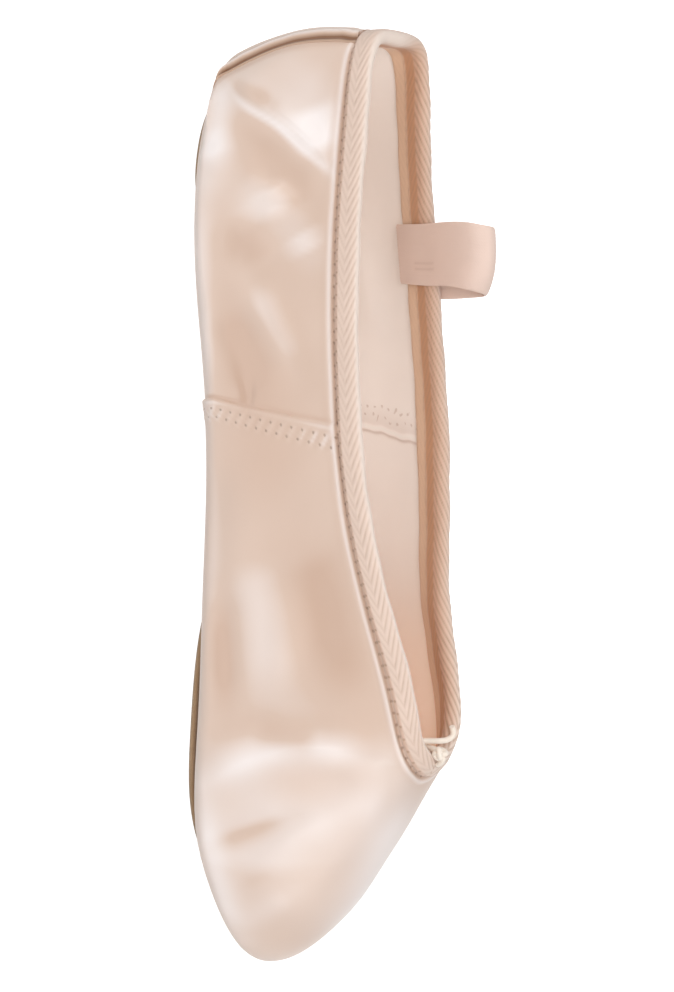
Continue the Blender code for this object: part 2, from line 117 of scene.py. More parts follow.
# %% The floor
FLOOR_SIZE = 12.0
FLOOR_WHITE = (0.35, 0.35, 0.35)
FLOOR_GLOW = 1.05


def make_floor():
    """A wide white sheet. Its glow keeps it white, but is kept from flooding the shoe's sides."""
    bm = bmesh.new()
    bmesh.ops.create_grid(bm, x_segments=1, y_segments=1, size=FLOOR_SIZE / 2)
    mesh = bpy.data.meshes.new("floor")
    bm.to_mesh(mesh)
    bm.free()
    floor = bpy.data.objects.new("floor", mesh)
    white = new_material("floor_white", FLOOR_WHITE, 0.9)
    shader = white.node_tree.nodes["Principled BSDF"]
    shader.inputs["Emission Color"].default_value = (1, 1, 1, 1)
    shader.inputs["Emission Strength"].default_value = FLOOR_GLOW
    mesh.materials.append(white)
    bpy.context.scene.collection.objects.link(floor)
    floor.visible_diffuse = False


# %% The lights and the tent
Light = namedtuple("Light", "name power width length place shines")
LIGHTS = [
    Light("front_fill", 6.6, 0.7, 0.6, (0.10, -0.85, 0.80), False),
    Light("toe_side", 2.4, 0.7, 0.6, (0.95, -0.20, 0.60), True),
    Light("heel_side", 2.8, 0.7, 0.6, (-0.85, -0.30, 0.50), True),
    Light("light_above", 2.4, 0.9, 0.6, (0.20, 0.35, 1.05), True),
    Light("low_side", 1.6, 1.3, 0.25, (0.09, -0.75, 0.10), False),
]
TENT_LOW, TENT_HIGH = 0.12, 0.42
CAMERA_SIDE = (0.0, -0.80, 0.60)
DIM_FROM, DIM_TO = 0.55, 0.95


def make_tent():
    """The white tent, with the dim room showing through its open front."""
    world = bpy.data.worlds.new("light_tent")
    world.use_nodes = True
    tree = world.node_tree
    direction = tree.nodes.new("ShaderNodeTexCoord")
    facing = tree.nodes.new("ShaderNodeVectorMath")
    facing.operation = "DOT_PRODUCT"
    facing.inputs[1].default_value = CAMERA_SIDE
    opening = tree.nodes.new("ShaderNodeMapRange")
    opening.interpolation_type = "SMOOTHSTEP"
    for socket, value in (("From Min", DIM_FROM), ("From Max", DIM_TO),
                          ("To Min", TENT_HIGH), ("To Max", TENT_LOW)):
        opening.inputs[socket].default_value = value
    wire(tree, (direction, "Generated"), (facing, 0))
    wire(tree, (facing, "Value"), (opening, "Value"))
    background = tree.nodes["Background"]
    background.inputs["Color"].default_value = (1, 1, 1, 1)
    wire(tree, (opening, "Result"), (background, "Strength"))
    bpy.context.scene.world = world


def make_lights():
    """Soft lights. Those that don't shine light the cloth but aren't mirrored in its gloss."""
    for plan in LIGHTS:
        data = bpy.data.lights.new(plan.name, "AREA")
        data.shape, data.size, data.size_y = "RECTANGLE", plan.width, plan.length
        data.energy = plan.power
        light = bpy.data.objects.new(plan.name, data)
        light.location = plan.place
        light.visible_glossy = plan.shines
        aim = LOOK_AT - Vector(plan.place)
        light.rotation_euler = aim.to_track_quat("-Z", "Y").to_euler()
        bpy.context.scene.collection.objects.link(light)
    bpy.context.scene.view_settings.view_transform = "Standard"


make_tent()
make_floor()
make_lights()

# %% [markdown]
# ## The shape of the upper, as ribs
#
# The upper is made on a last, the wooden form of a foot. Here the last is a short table of cross
# sections. Each row holds the widths at the foot and at the topline, the topline's height and how
# the wall leans. A smooth closed line through the rows gives a rib at any place round the shoe,
# and a rib runs from under the foot, round the bottom edge and up to the topline. In the vamp the
# ribs start at the toe and run back over the toes.
#
# Two numbers then name any point of the cloth: t says which rib (0 at the back of the heel, 0.5 at
# the toe, 0 to 0.5 on the inner side of the foot), and s how far along it (0 under the foot, 1 at
# the bottom edge, 2 at the foot of the wall, 3 at the topline).

# %% Driving sizes and the table of sections
LENGTH = 238.5
BALL_WIDTH = 67.0
INSTEP_HEIGHT = 54.5
HEEL_HEIGHT = 48.0
HEEL_BACK = -0.125 * LENGTH
GAP = 0.3
WALL = 1.4
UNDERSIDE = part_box("outsole_heel")[1].z / MM + GAP

# along, near, far: place and half widths in percent; rise: mm; top_...: the same at the topline;
# top: topline height in percent; lean: degrees; belly: mm; swell: share of the height
Section = namedtuple(
    "Section", "name along near far rise top_along top_near top_far top lean belly swell"
)
SECTIONS = [
    Section("heel back", 0.5, 0, 0, 0.3, 0.6, 0, 0, 100, 88, 1.8, 0.36),
    Section("heel round", 2.9, 49, 48, 0.1, 1.6, 37, 37, 100, 86, 1.5, 0.36),
    Section("heel side", 9.6, 82, 80, 0.0, 9.4, 50, 48, 98, 80, 1.0, 0.36),
    Section("heel front", 20.8, 96, 93, 0.0, 22.0, 60, 60, 96, 76, 0.5, 0.36),
    Section("waist back", 33.5, 90, 93, 1.0, 37.0, 68, 68, 95, 75, 0.0, 0.36),
    Section("waist", 46.0, 86, 95, 1.4, 50.2, 65, 62, 94.5, 74, 0.0, 0.36),
    Section("waist front", 59.5, 88, 100, 0.2, 61.0, 50, 45, 97, 66, 0.0, 0.36),
    Section("ball", 74.0, 97, 101, 0.0, 70.2, 36, 38, 102, 56, 0.0, 0.34),
    Section("toe side", 85.5, 99, 79, 0.0, 75.0, 25, 36, 102, 44, 0.0, 0.36),
    Section("toe round", 92.8, 77, 51, 0.7, 77.0, 14, 28, 101, 34, 0.0, 0.37),
    Section("toe curve", 97.8, 49, 23, 1.6, 77.9, 4, 18, 100, 31, 0.0, 0.37),
    Section("toe tip", 100.0, 11, -10, 2.0, 78.3, -7, 7, 99, 30, 0.0, 0.37),
]
CORNER_OUT, CORNER_UP = 11.0, 7.5
TOE_CORNER_OUT, TOE_CORNER_UP = 7.0, 5.0
TOE_FROM = 0.80
COMB = 0.34


# %% A smooth closed line through the sections
def running_length(line):
    """How far along a line of points each of them is."""
    steps = np.linalg.norm(np.diff(line, axis=0), axis=1)
    return np.concatenate([[0], np.cumsum(steps)])


def height_here(along):
    """The height that runs from the heel's to the instep's."""
    share = min(max((along - 20) / 60, 0), 1)
    share = share * share * (3 - 2 * share)
    return HEEL_HEIGHT + (INSTEP_HEIGHT - HEEL_HEIGHT) * share


def rib_rows():
    """One row of numbers for each rib, from the heel along the near side to the toe and back."""
    near, far = [], []
    half = BALL_WIDTH / 2 / 100
    for s in SECTIONS:
        toe = min(max((s.along / 100 - TOE_FROM) / (1 - TOE_FROM), 0), 1)
        out = CORNER_OUT + (TOE_CORNER_OUT - CORNER_OUT) * toe
        up = CORNER_UP + (TOE_CORNER_UP - CORNER_UP) * toe
        height = s.top / 100 * height_here(s.top_along)
        x, top_x = (HEEL_BACK + a / 100 * LENGTH for a in (s.along, s.top_along))
        rest = [UNDERSIDE + s.rise, out, up, height, s.lean, s.belly, s.swell]
        near.append([x, -s.near * half, top_x, -s.top_near * half, *rest])
        far.append([x, s.far * half, top_x, s.top_far * half, *rest])
    return np.array(near + far[-2:0:-1])


def closed_spline(knots, rows):
    """A smooth closed line through the rows, one at each knot."""
    step = np.diff(knots)
    count = len(step)
    rise = (np.roll(rows, -1, axis=0) - rows) / step[:, None]
    matrix, right = np.zeros((count, count)), np.zeros_like(rows)
    for i in range(count):
        before, after = 1 / step[i - 1], 1 / step[i]
        matrix[i, i] = 2 * (before + after)
        matrix[i, i - 1] += before
        matrix[i, (i + 1) % count] += after
        right[i] = 3 * (rise[i - 1] * before + rise[i] * after)
    slope = np.linalg.solve(matrix, right)

    def at(knot):
        i = min(int(np.searchsorted(knots, knot, side="right")) - 1, count - 1)
        h, u = step[i], (knot - knots[i]) / step[i]
        a, b = rows[i], rows[(i + 1) % count]
        start, end = slope[i] * h, slope[(i + 1) % count] * h
        return (
            a * (1 + 2 * u) * (1 - u) ** 2
            + b * u * u * (3 - 2 * u)
            + start * u * (1 - u) ** 2
            - end * u * u * (1 - u)
        )

    return at


ROWS = rib_rows()
FEET = np.vstack([ROWS[:, :2], ROWS[:1, :2]])
KNOTS = running_length(FEET)
LINE = closed_spline(KNOTS, ROWS)
SEAM = 4.52 / len(ROWS)
LAP, LAP_WIDTH, LAP_ROUND, LAP_LEAST = 0.8, 9.0, 0.6, 0.25
print("once round the foot is", round(KNOTS[-1]), "mm")


# %% The rib at t
def knot(t):
    """How far round the foot line t is, in millimetres."""
    return float(np.interp((t % 1.0) * len(ROWS), range(len(KNOTS)), KNOTS))


def raw_rib(t):
    """The row of numbers at t, read off the closed line."""
    return LINE(knot(t))


def inward(t, columns):
    """The level direction into the shoe, square to a line round it."""
    dx, dy = (raw_rib(t + 0.004) - raw_rib(t - 0.004))[list(columns)]
    return np.array([-dy, dx, 0]) / math.hypot(dx, dy)


@lru_cache(maxsize=None)
def rib(t):
    """Edge, foot, two handles and top of the rib at t, as one array."""
    x, y, top_x, top_y, under, out, up, height, lean, belly, swell = raw_rib(t)
    under = max(under, UNDERSIDE)
    foot, top = np.array([x, y, under + up]), np.array([top_x, top_y, height])
    at_foot, at_top = inward(t, (0, 1)), inward(t, (2, 3))
    climb = top - foot
    long = np.linalg.norm(climb)
    slope = math.radians(lean)
    low = foot + (climb - at_foot * (climb @ at_foot)) * swell - at_foot * belly
    forward = np.array([at_top[1], -at_top[0], 0])
    arrive = at_top * math.cos(slope) + np.array([0, 0, math.sin(slope)])
    high = top - arrive * COMB * long - forward * (climb @ forward) * COMB
    return np.array([foot + at_foot * out - np.array([0, 0, up]), foot, low, high, top])


# %% Many points of the surface at once
KEEL_BACK, KEEL_FRONT = HEEL_BACK + 0.13 * LENGTH, HEEL_BACK + 0.85 * LENGTH


def unit(directions):
    """The same directions, each of them one long."""
    return directions / np.linalg.norm(directions, axis=-1, keepdims=True)


def surface(ts, ss):
    """Points on the outside of the upper: a row for each t, a column for each s."""
    ts = [round(float(t) % 1.0, 9) for t in np.atleast_1d(ts)]
    ss = np.broadcast_to(ss, (len(ts), np.shape(ss)[-1]))[..., None]
    edge, foot, low, high, top = (
        np.array([rib(t)[i] for t in ts])[:, None, :] for i in range(5)
    )
    partner = np.array([rib(round(1 - t, 9) % 1.0)[0] for t in ts])[:, None, :]
    keel = (edge + partner) / 2
    keel[..., 0] = np.clip(keel[..., 0], KEEL_BACK, KEEL_FRONT)
    flat = keel + (edge - keel) * np.clip(ss, 0, 1)
    turn = np.clip(ss - 1, 0, 1) * math.pi / 2
    out, rise = (foot - edge) * (1, 1, 0), (foot - edge) * (0, 0, 1)
    corner = edge + out * np.sin(turn) + rise * (1 - np.cos(turn))
    u = np.clip(ss - 2, 0, 1)
    below, above = foot * (1 - u) ** 3 + low * 3 * u * (1 - u) ** 2, high * 3 * u * u * (1 - u)
    wall = below + above + top * u**3
    return np.where(ss <= 1, flat, np.where(ss <= 2, corner, wall))


def outward(ts, ss):
    """The directions out of the upper at the same points."""
    ts = np.atleast_1d(ts)
    ss = np.broadcast_to(ss, (len(ts), np.shape(ss)[-1])).astype(float)
    near, step = 0.002, 0.01
    high = np.minimum(ss + step, 3.0)
    round_it = surface(ts + near, ss) - surface(ts - near, ss)
    up_it = surface(ts, high) - surface(ts, high - 2 * step)
    normal = np.cross(round_it, up_it)
    normal[ss < 0.05] = (0, 0, -1)
    return unit(normal)


def offset(ts, ss, depth):
    """Points depth outside the upper, or inside it where depth is negative."""
    return surface(ts, ss) + outward(ts, ss) * np.asarray(depth, float)[..., None]


def at_topline(ts):
    """The topline's points, with the directions up along the wall and outward there."""
    top = surface(ts, [3.0, 2.97])
    return top[:, 0], unit(top[:, 0] - top[:, 1]), outward(ts, [3.0])[:, 0]


print("topline over the floor at the throat:", round(surface([0.5], [3.0])[0, 0, 2], 1), "mm;",
      "the frame's upper reaches", round(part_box("upper")[1].z / MM, 1), "mm")

# %% [markdown]
# ## Making cloth from rows of points
#
# Nearly every piece of the slipper is a strip or a skin, so one helper makes them all. It takes a
# grid of points, row after row, and joins each four neighbours with a face. A row may close on
# itself, as round a tube, and the first row may meet the last, as round the shoe. Numbers that a
# material needs, such as the distance from a seam, are stored at the points as attributes.

# %% Grid meshes
def smooth_step(low, high, value):
    """0 below low, 1 above high and an easy slope between."""
    share = np.clip((np.asarray(value, float) - low) / (high - low), 0, 1)
    return share * share * (3 - 2 * share)


def bell(values, middle, width, power=2):
    """1 at the middle and falling off on both sides; a higher power gives it a flat top."""
    return np.exp(-(((values - middle) / width) ** power))


def grid_faces(rows, columns, close_rows, close_columns):
    """The four corners of each face, as numbers of points in the grid."""
    index = np.arange(rows * columns).reshape(rows, columns)
    if close_rows:
        index = np.vstack([index, index[:1]])
    if close_columns:
        index = np.hstack([index, index[:, :1]])
    corners = index[:-1, :-1], index[:-1, 1:], index[1:, 1:], index[1:, :-1]
    return np.stack(corners, -1).reshape(-1, 4)


# %% Pieces from grids
WELD, SHARP = 0.02, 60


def new_piece(name, material, points, faces, **numbers):
    """A mesh from points in millimetres; points closer together than the weld become one."""
    mesh = bpy.data.meshes.new(name)
    mesh.from_pydata(np.asarray(points, float).reshape(-1, 3) * MM, [], [list(f) for f in faces])
    for key, values in numbers.items():
        layer = mesh.attributes.new(key, "FLOAT", "POINT")
        layer.data.foreach_set("value", np.asarray(values, np.float32).ravel())
    bm = bmesh.new()
    bm.from_mesh(mesh)
    bmesh.ops.remove_doubles(bm, verts=bm.verts, dist=WELD * MM)
    bmesh.ops.dissolve_degenerate(bm, edges=bm.edges, dist=WELD / 20 * MM)
    bmesh.ops.recalc_face_normals(bm, faces=bm.faces)
    bm.to_mesh(mesh)
    bm.free()
    mesh.shade_smooth()
    mesh.set_sharp_from_angle(angle=math.radians(SHARP))
    mesh.materials.append(material)
    piece = bpy.data.objects.new(name, mesh)
    bpy.context.scene.collection.objects.link(piece)
    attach(piece, "root")
    return piece


def skin(name, material, grid, close_rows=False, close_columns=True, **numbers):
    """A closed piece from a grid of rows. Each row goes round its cross section, and both ends
    get a cap, unless the rows themselves go round and meet."""
    rows, columns = grid.shape[:2]
    faces = grid_faces(rows, columns, close_rows, close_columns).tolist()
    if not close_rows:
        faces += [list(range(columns)), list(range((rows - 1) * columns, rows * columns))]
    return new_piece(name, material, grid, faces, **numbers)


def count(piece):
    """How many triangles the piece has."""
    return sum(len(face.vertices) - 2 for face in piece.data.polygons)


def curve_through(points, steps=8):
    """Points along a smooth curve through the given ones."""
    p = [np.array(q, float) for q in points]
    p = [2 * p[0] - p[1]] + p + [2 * p[-1] - p[-2]]
    line = []
    for a, b, c, d in zip(p, p[1:], p[2:], p[3:]):
        for i in range(steps):
            u = i / steps
            line.append(0.5 * (2 * b + (c - a) * u + (2 * a - 5 * b + 4 * c - d) * u * u
                               + (3 * b - a - 3 * c + d) * u**3))
    return np.array(line + [p[-2]])


# %% [markdown]
# ## Cloth finishes
#
# Cloth is never one flat colour. Its dye wanders a little, its threads catch the light one by one,
# and a sewing machine leaves a row of tiny holes. Each of these is a small group of shader nodes
# here, so satin, cotton, tape and elastic can share it with their own numbers. The groups give
# only colours, masks and heights. Gloss stays with each material's own shader.

# %% Groups of nodes
def new_group(name, inputs, outputs):
    """An empty shader group with float or colour sockets."""
    group = bpy.data.node_groups.new(name, "ShaderNodeTree")
    for socket, value in inputs.items():
        kind = "NodeSocketColor" if isinstance(value, tuple) else "NodeSocketFloat"
        made = group.interface.new_socket(socket, in_out="INPUT", socket_type=kind)
        made.default_value = (*value, 1) if isinstance(value, tuple) else value
    for socket in outputs:
        kind = "NodeSocketColor" if socket == "Color" else "NodeSocketFloat"
        group.interface.new_socket(socket, in_out="OUTPUT", socket_type=kind)
    ends = group.nodes.new("NodeGroupInput"), group.nodes.new("NodeGroupOutput")
    return group, *ends


def add(tree, kind, **settings):
    """A new node of that kind, with its settings."""
    node = tree.nodes.new("ShaderNode" + kind)
    for key, value in settings.items():
        setattr(node, key, value)
    return node


def feed(tree, node, socket, value):
    """Gives a socket its value: a number, a colour or another node's (node, output)."""
    if isinstance(value, tuple) and isinstance(value[0], bpy.types.Node):
        wire(tree, value, (node, socket))
    else:
        node.inputs[socket].default_value = (*value, 1) if isinstance(value, tuple) else value


def math_node(tree, operation, *values, clamp=False):
    """A Math node; each value is a number or a (node, output)."""
    node = add(tree, "Math", operation=operation, use_clamp=clamp)
    for i, value in enumerate(values):
        feed(tree, node, i, value)
    return node, "Value"


def mix_colors(tree, share, first, second):
    """From the first colour to the second as the share goes from 0 to 1."""
    mix = add(tree, "MixRGB")
    for socket, value in (("Fac", share), ("Color1", first), ("Color2", second)):
        feed(tree, mix, socket, value)
    return mix, "Color"


def noise(tree, scale, detail=2):
    """A soft noise that stays with the piece."""
    node = add(tree, "TexNoise")
    wire(tree, (add(tree, "TexCoord"), "Object"), (node, "Vector"))
    feed(tree, node, "Scale", scale)
    node.inputs["Detail"].default_value = detail
    return node, "Fac"


# %% Groups and shaders
def place_group(material, group, **values):
    """The group as a node in the material, with numbers or colours for its sockets."""
    node = material.node_tree.nodes.new("ShaderNodeGroup")
    node.node_tree = group
    for socket, value in values.items():
        feed(material.node_tree, node, socket.replace("_", " "), value)
    return node


def to_shader(material, start, socket="Base Color"):
    """Wires a (node, output) into the material's own shader, and hands it back."""
    tree = material.node_tree
    wire(tree, start, (tree.nodes["Principled BSDF"], socket))
    return start


# %% Dye that wanders, and the tone of folds
def make_dye_group():
    """Color, made a little lighter and darker in soft patches."""
    group, start, end = new_group(
        "uneven_dye",
        {"Color": (0.8, 0.7, 0.6), "Patch mm": 20.0, "Amount": 0.06, "Warmth": 0.3},
        ["Color"],
    )
    scale = math_node(group, "DIVIDE", 1 / MM, (start, "Patch mm"))
    swing = math_node(group, "MULTIPLY_ADD", noise(group, scale, 3), 4.0, -2.0)
    shade = math_node(group, "MULTIPLY", swing, (start, "Amount"))
    value = math_node(group, "ADD", 1.0, shade)
    saturation = math_node(group, "MULTIPLY", shade, (start, "Warmth"))
    saturation = math_node(group, "SUBTRACT", 1.0, saturation)
    tint = add(group, "HueSaturation")
    wire(group, (start, "Color"), (tint, "Color"))
    wire(group, value, (tint, "Value"))
    wire(group, saturation, (tint, "Saturation"))
    wire(group, (tint, "Color"), (end, "Color"))
    return group


# this group paints light and shade into a colour: a painted highlight above 0, painted shade below
def make_tone_group():
    """Color, lighter where Tone is above 0 and darker and warmer below it."""
    group, start, end = new_group(
        "light_and_shade_of_folds",
        {"Color": (0.8, 0.7, 0.6), "Tone": 0.0, "Light": (0.9, 0.8, 0.75), "Dark": (0.7, 0.5, 0.4)},
        ["Color"],
    )
    up = math_node(group, "MULTIPLY", (start, "Tone"), 1.0, clamp=True)
    down = math_node(group, "MULTIPLY", (start, "Tone"), -1.0, clamp=True)
    color = (start, "Color")
    for amount, target in ((up, "Light"), (down, "Dark")):
        color = mix_colors(group, amount, color, (start, target))
    wire(group, color, (end, "Color"))
    return group


# %% The grain of threads and the needle holes
def make_weave_group():
    """Height of a plain weave along the cloth's own directions, blurred by a soft noise."""
    group, start, end = new_group(
        "weave", {"Threads along": 2.5, "Threads across": 2.5, "Fuzz": 0.5}, ["Height"]
    )
    cloth = add(group, "UVMap", uv_map="cloth")
    split = add(group, "SeparateXYZ")
    wire(group, (cloth, "UV"), (split, "Vector"))
    waves = []
    for axis, socket in (("X", "Threads along"), ("Y", "Threads across")):
        turns = math_node(group, "MULTIPLY", (split, axis), (start, socket))
        turns = math_node(group, "MULTIPLY", turns, 2 * math.pi)
        waves.append(math_node(group, "SINE", turns))
    woven = math_node(group, "MULTIPLY", waves[0], waves[1])
    hair = math_node(group, "MULTIPLY", noise(group, 2600), (start, "Fuzz"))
    half = math_node(group, "MULTIPLY", woven, 0.25)
    wire(group, math_node(group, "ADD", half, hair), (end, "Height"))
    return group


def make_needle_group():
    """A row of needle holes, from the distance across the row and the distance along it."""
    group, start, end = new_group(
        "needle_holes",
        {"Across mm": 0.0, "Along mm": 0.0, "Row mm": 1.3, "Pitch mm": 2.8, "Shift": 0.0,
         "Size mm": 0.5},
        ["Mask"],
    )
    off = math_node(group, "SUBTRACT", (start, "Across mm"), (start, "Row mm"))
    turns = math_node(group, "DIVIDE", (start, "Along mm"), (start, "Pitch mm"))
    turns = math_node(group, "ADD", turns, (start, "Shift"))
    part = math_node(group, "FRACT", turns)
    part = math_node(group, "SUBTRACT", part, 0.5)
    along = math_node(group, "MULTIPLY", part, (start, "Pitch mm"))
    square = math_node(group, "MULTIPLY", off, off)
    total = math_node(group, "MULTIPLY_ADD", along, along, square)
    away = math_node(group, "SQRT", total)
    near = math_node(group, "DIVIDE", away, (start, "Size mm"))
    mask = add(group, "MapRange", interpolation_type="SMOOTHSTEP")
    for socket, value in (("Value", near), ("From Min", 0.35), ("From Max", 1.0),
                          ("To Min", 1.0), ("To Max", 0.0)):
        feed(group, mask, socket, value)
    wire(group, (mask, "Result"), (end, "Mask"))
    return group


UNEVEN_DYE, FOLD_TONE = make_dye_group(), make_tone_group()
WEAVE, NEEDLE_HOLES = make_weave_group(), make_needle_group()
print("shared groups:", UNEVEN_DYE.name, FOLD_TONE.name, WEAVE.name, NEEDLE_HOLES.name)


# %% Putting a finish together
def attribute(material, name):
    """A number stored at the mesh's points, as a (node, output)."""
    return add(material.node_tree, "Attribute", attribute_name=name), "Fac"


def dye(material, color, patch, amount, warmth=0.3):
    """Uneven dye into the base colour; returns the new colour."""
    node = place_group(
        material, UNEVEN_DYE, Color=color, Patch_mm=patch, Amount=amount, Warmth=warmth
    )
    return to_shader(material, (node, "Color"))


def bump(material, height, strength, distance, below=None):
    """A Bump node into the shader's normal, on top of another one if it is given."""
    tree = material.node_tree
    node = add(tree, "Bump")
    node.inputs["Strength"].default_value = strength
    node.inputs["Distance"].default_value = distance * MM
    wire(tree, height, (node, "Height"))
    if below is not None:
        wire(tree, (below, "Normal"), (node, "Normal"))
    to_shader(material, (node, "Normal"), "Normal")
    return node


def weave(material, along, across, fuzz, strength=0.5, distance=0.1):
    """The weave as relief: threads along and across in 10 mm, and how fuzzy they are."""
    node = place_group(material, WEAVE, Threads_along=along, Threads_across=across, Fuzz=fuzz)
    return bump(material, (node, "Height"), strength, distance)


def tint_by(material, mask, base, other):
    """Mixes another colour into the base colour where the mask is 1."""
    return to_shader(material, mix_colors(material.node_tree, mask, base, other))


def tone_by(material, base, tone, light, dark):
    """The folds' light and shade over the base colour; returns the new colour."""
    node = place_group(material, FOLD_TONE, Color=base, Tone=tone, Light=light, Dark=dark)
    return to_shader(material, (node, "Color"))


def needle_holes(material, across, along, row, **values):
    """The mask of a row of holes; across and along are (node, output) or name an attribute."""
    across, along = (attribute(material, a) if isinstance(a, str) else a for a in (across, along))
    return place_group(
        material, NEEDLE_HOLES, Across_mm=across, Along_mm=along, Row_mm=row, **values
    ), "Mask"


# %% Directions and numbers stored in the cloth
def give_cloth_map(piece, along, across):
    """A UV map called cloth; one unit is 10 mm of cloth. Both are attributes or numbers."""
    along, across = (stored(piece, a) if isinstance(a, str) else a for a in (along, across))
    layer = piece.data.uv_layers.new(name="cloth")
    corner = np.empty(len(piece.data.loops), int)
    piece.data.loops.foreach_get("vertex_index", corner)
    uv = np.stack([np.asarray(along)[corner], np.asarray(across)[corner]], -1) / 10
    layer.data.foreach_set("uv", uv.astype(np.float32).ravel())


def stored(piece, name):
    """The numbers that an attribute holds, one for each point."""
    values = np.empty(len(piece.data.vertices), np.float32)
    piece.data.attributes[name].data.foreach_get("value", values)
    return values


# %% [markdown]
# ## Where the satin folds
#
# Soft satin without a foot in it keeps the creases it was packed with. Each one is a short line of
# points on the shoe, with a width and a height; a trough has a negative height. The cloth near the
# line is raised or lowered by a soft bell curve, which dies out towards both ends of the line.
# Each fold may also lay a painted highlight, or painted shade where its number is below 0, into the
# satin's colour along the same curve; some folds carry only this painted light and shade.
# Modelling this way keeps every fold where a maker would draw it.

# %% The folds of the outside
# the last number of a fold is its painted light and shade: a painted highlight above 0, painted
# shade below
Fold = namedtuple("Fold", "points height left right power tone")


def fold(points, height, left, right=None, power=2.0, tone=0.0):
    """A fold along points: left and right are its widths on either side, going along it."""
    return Fold(points, height, left, right or left, power, tone)


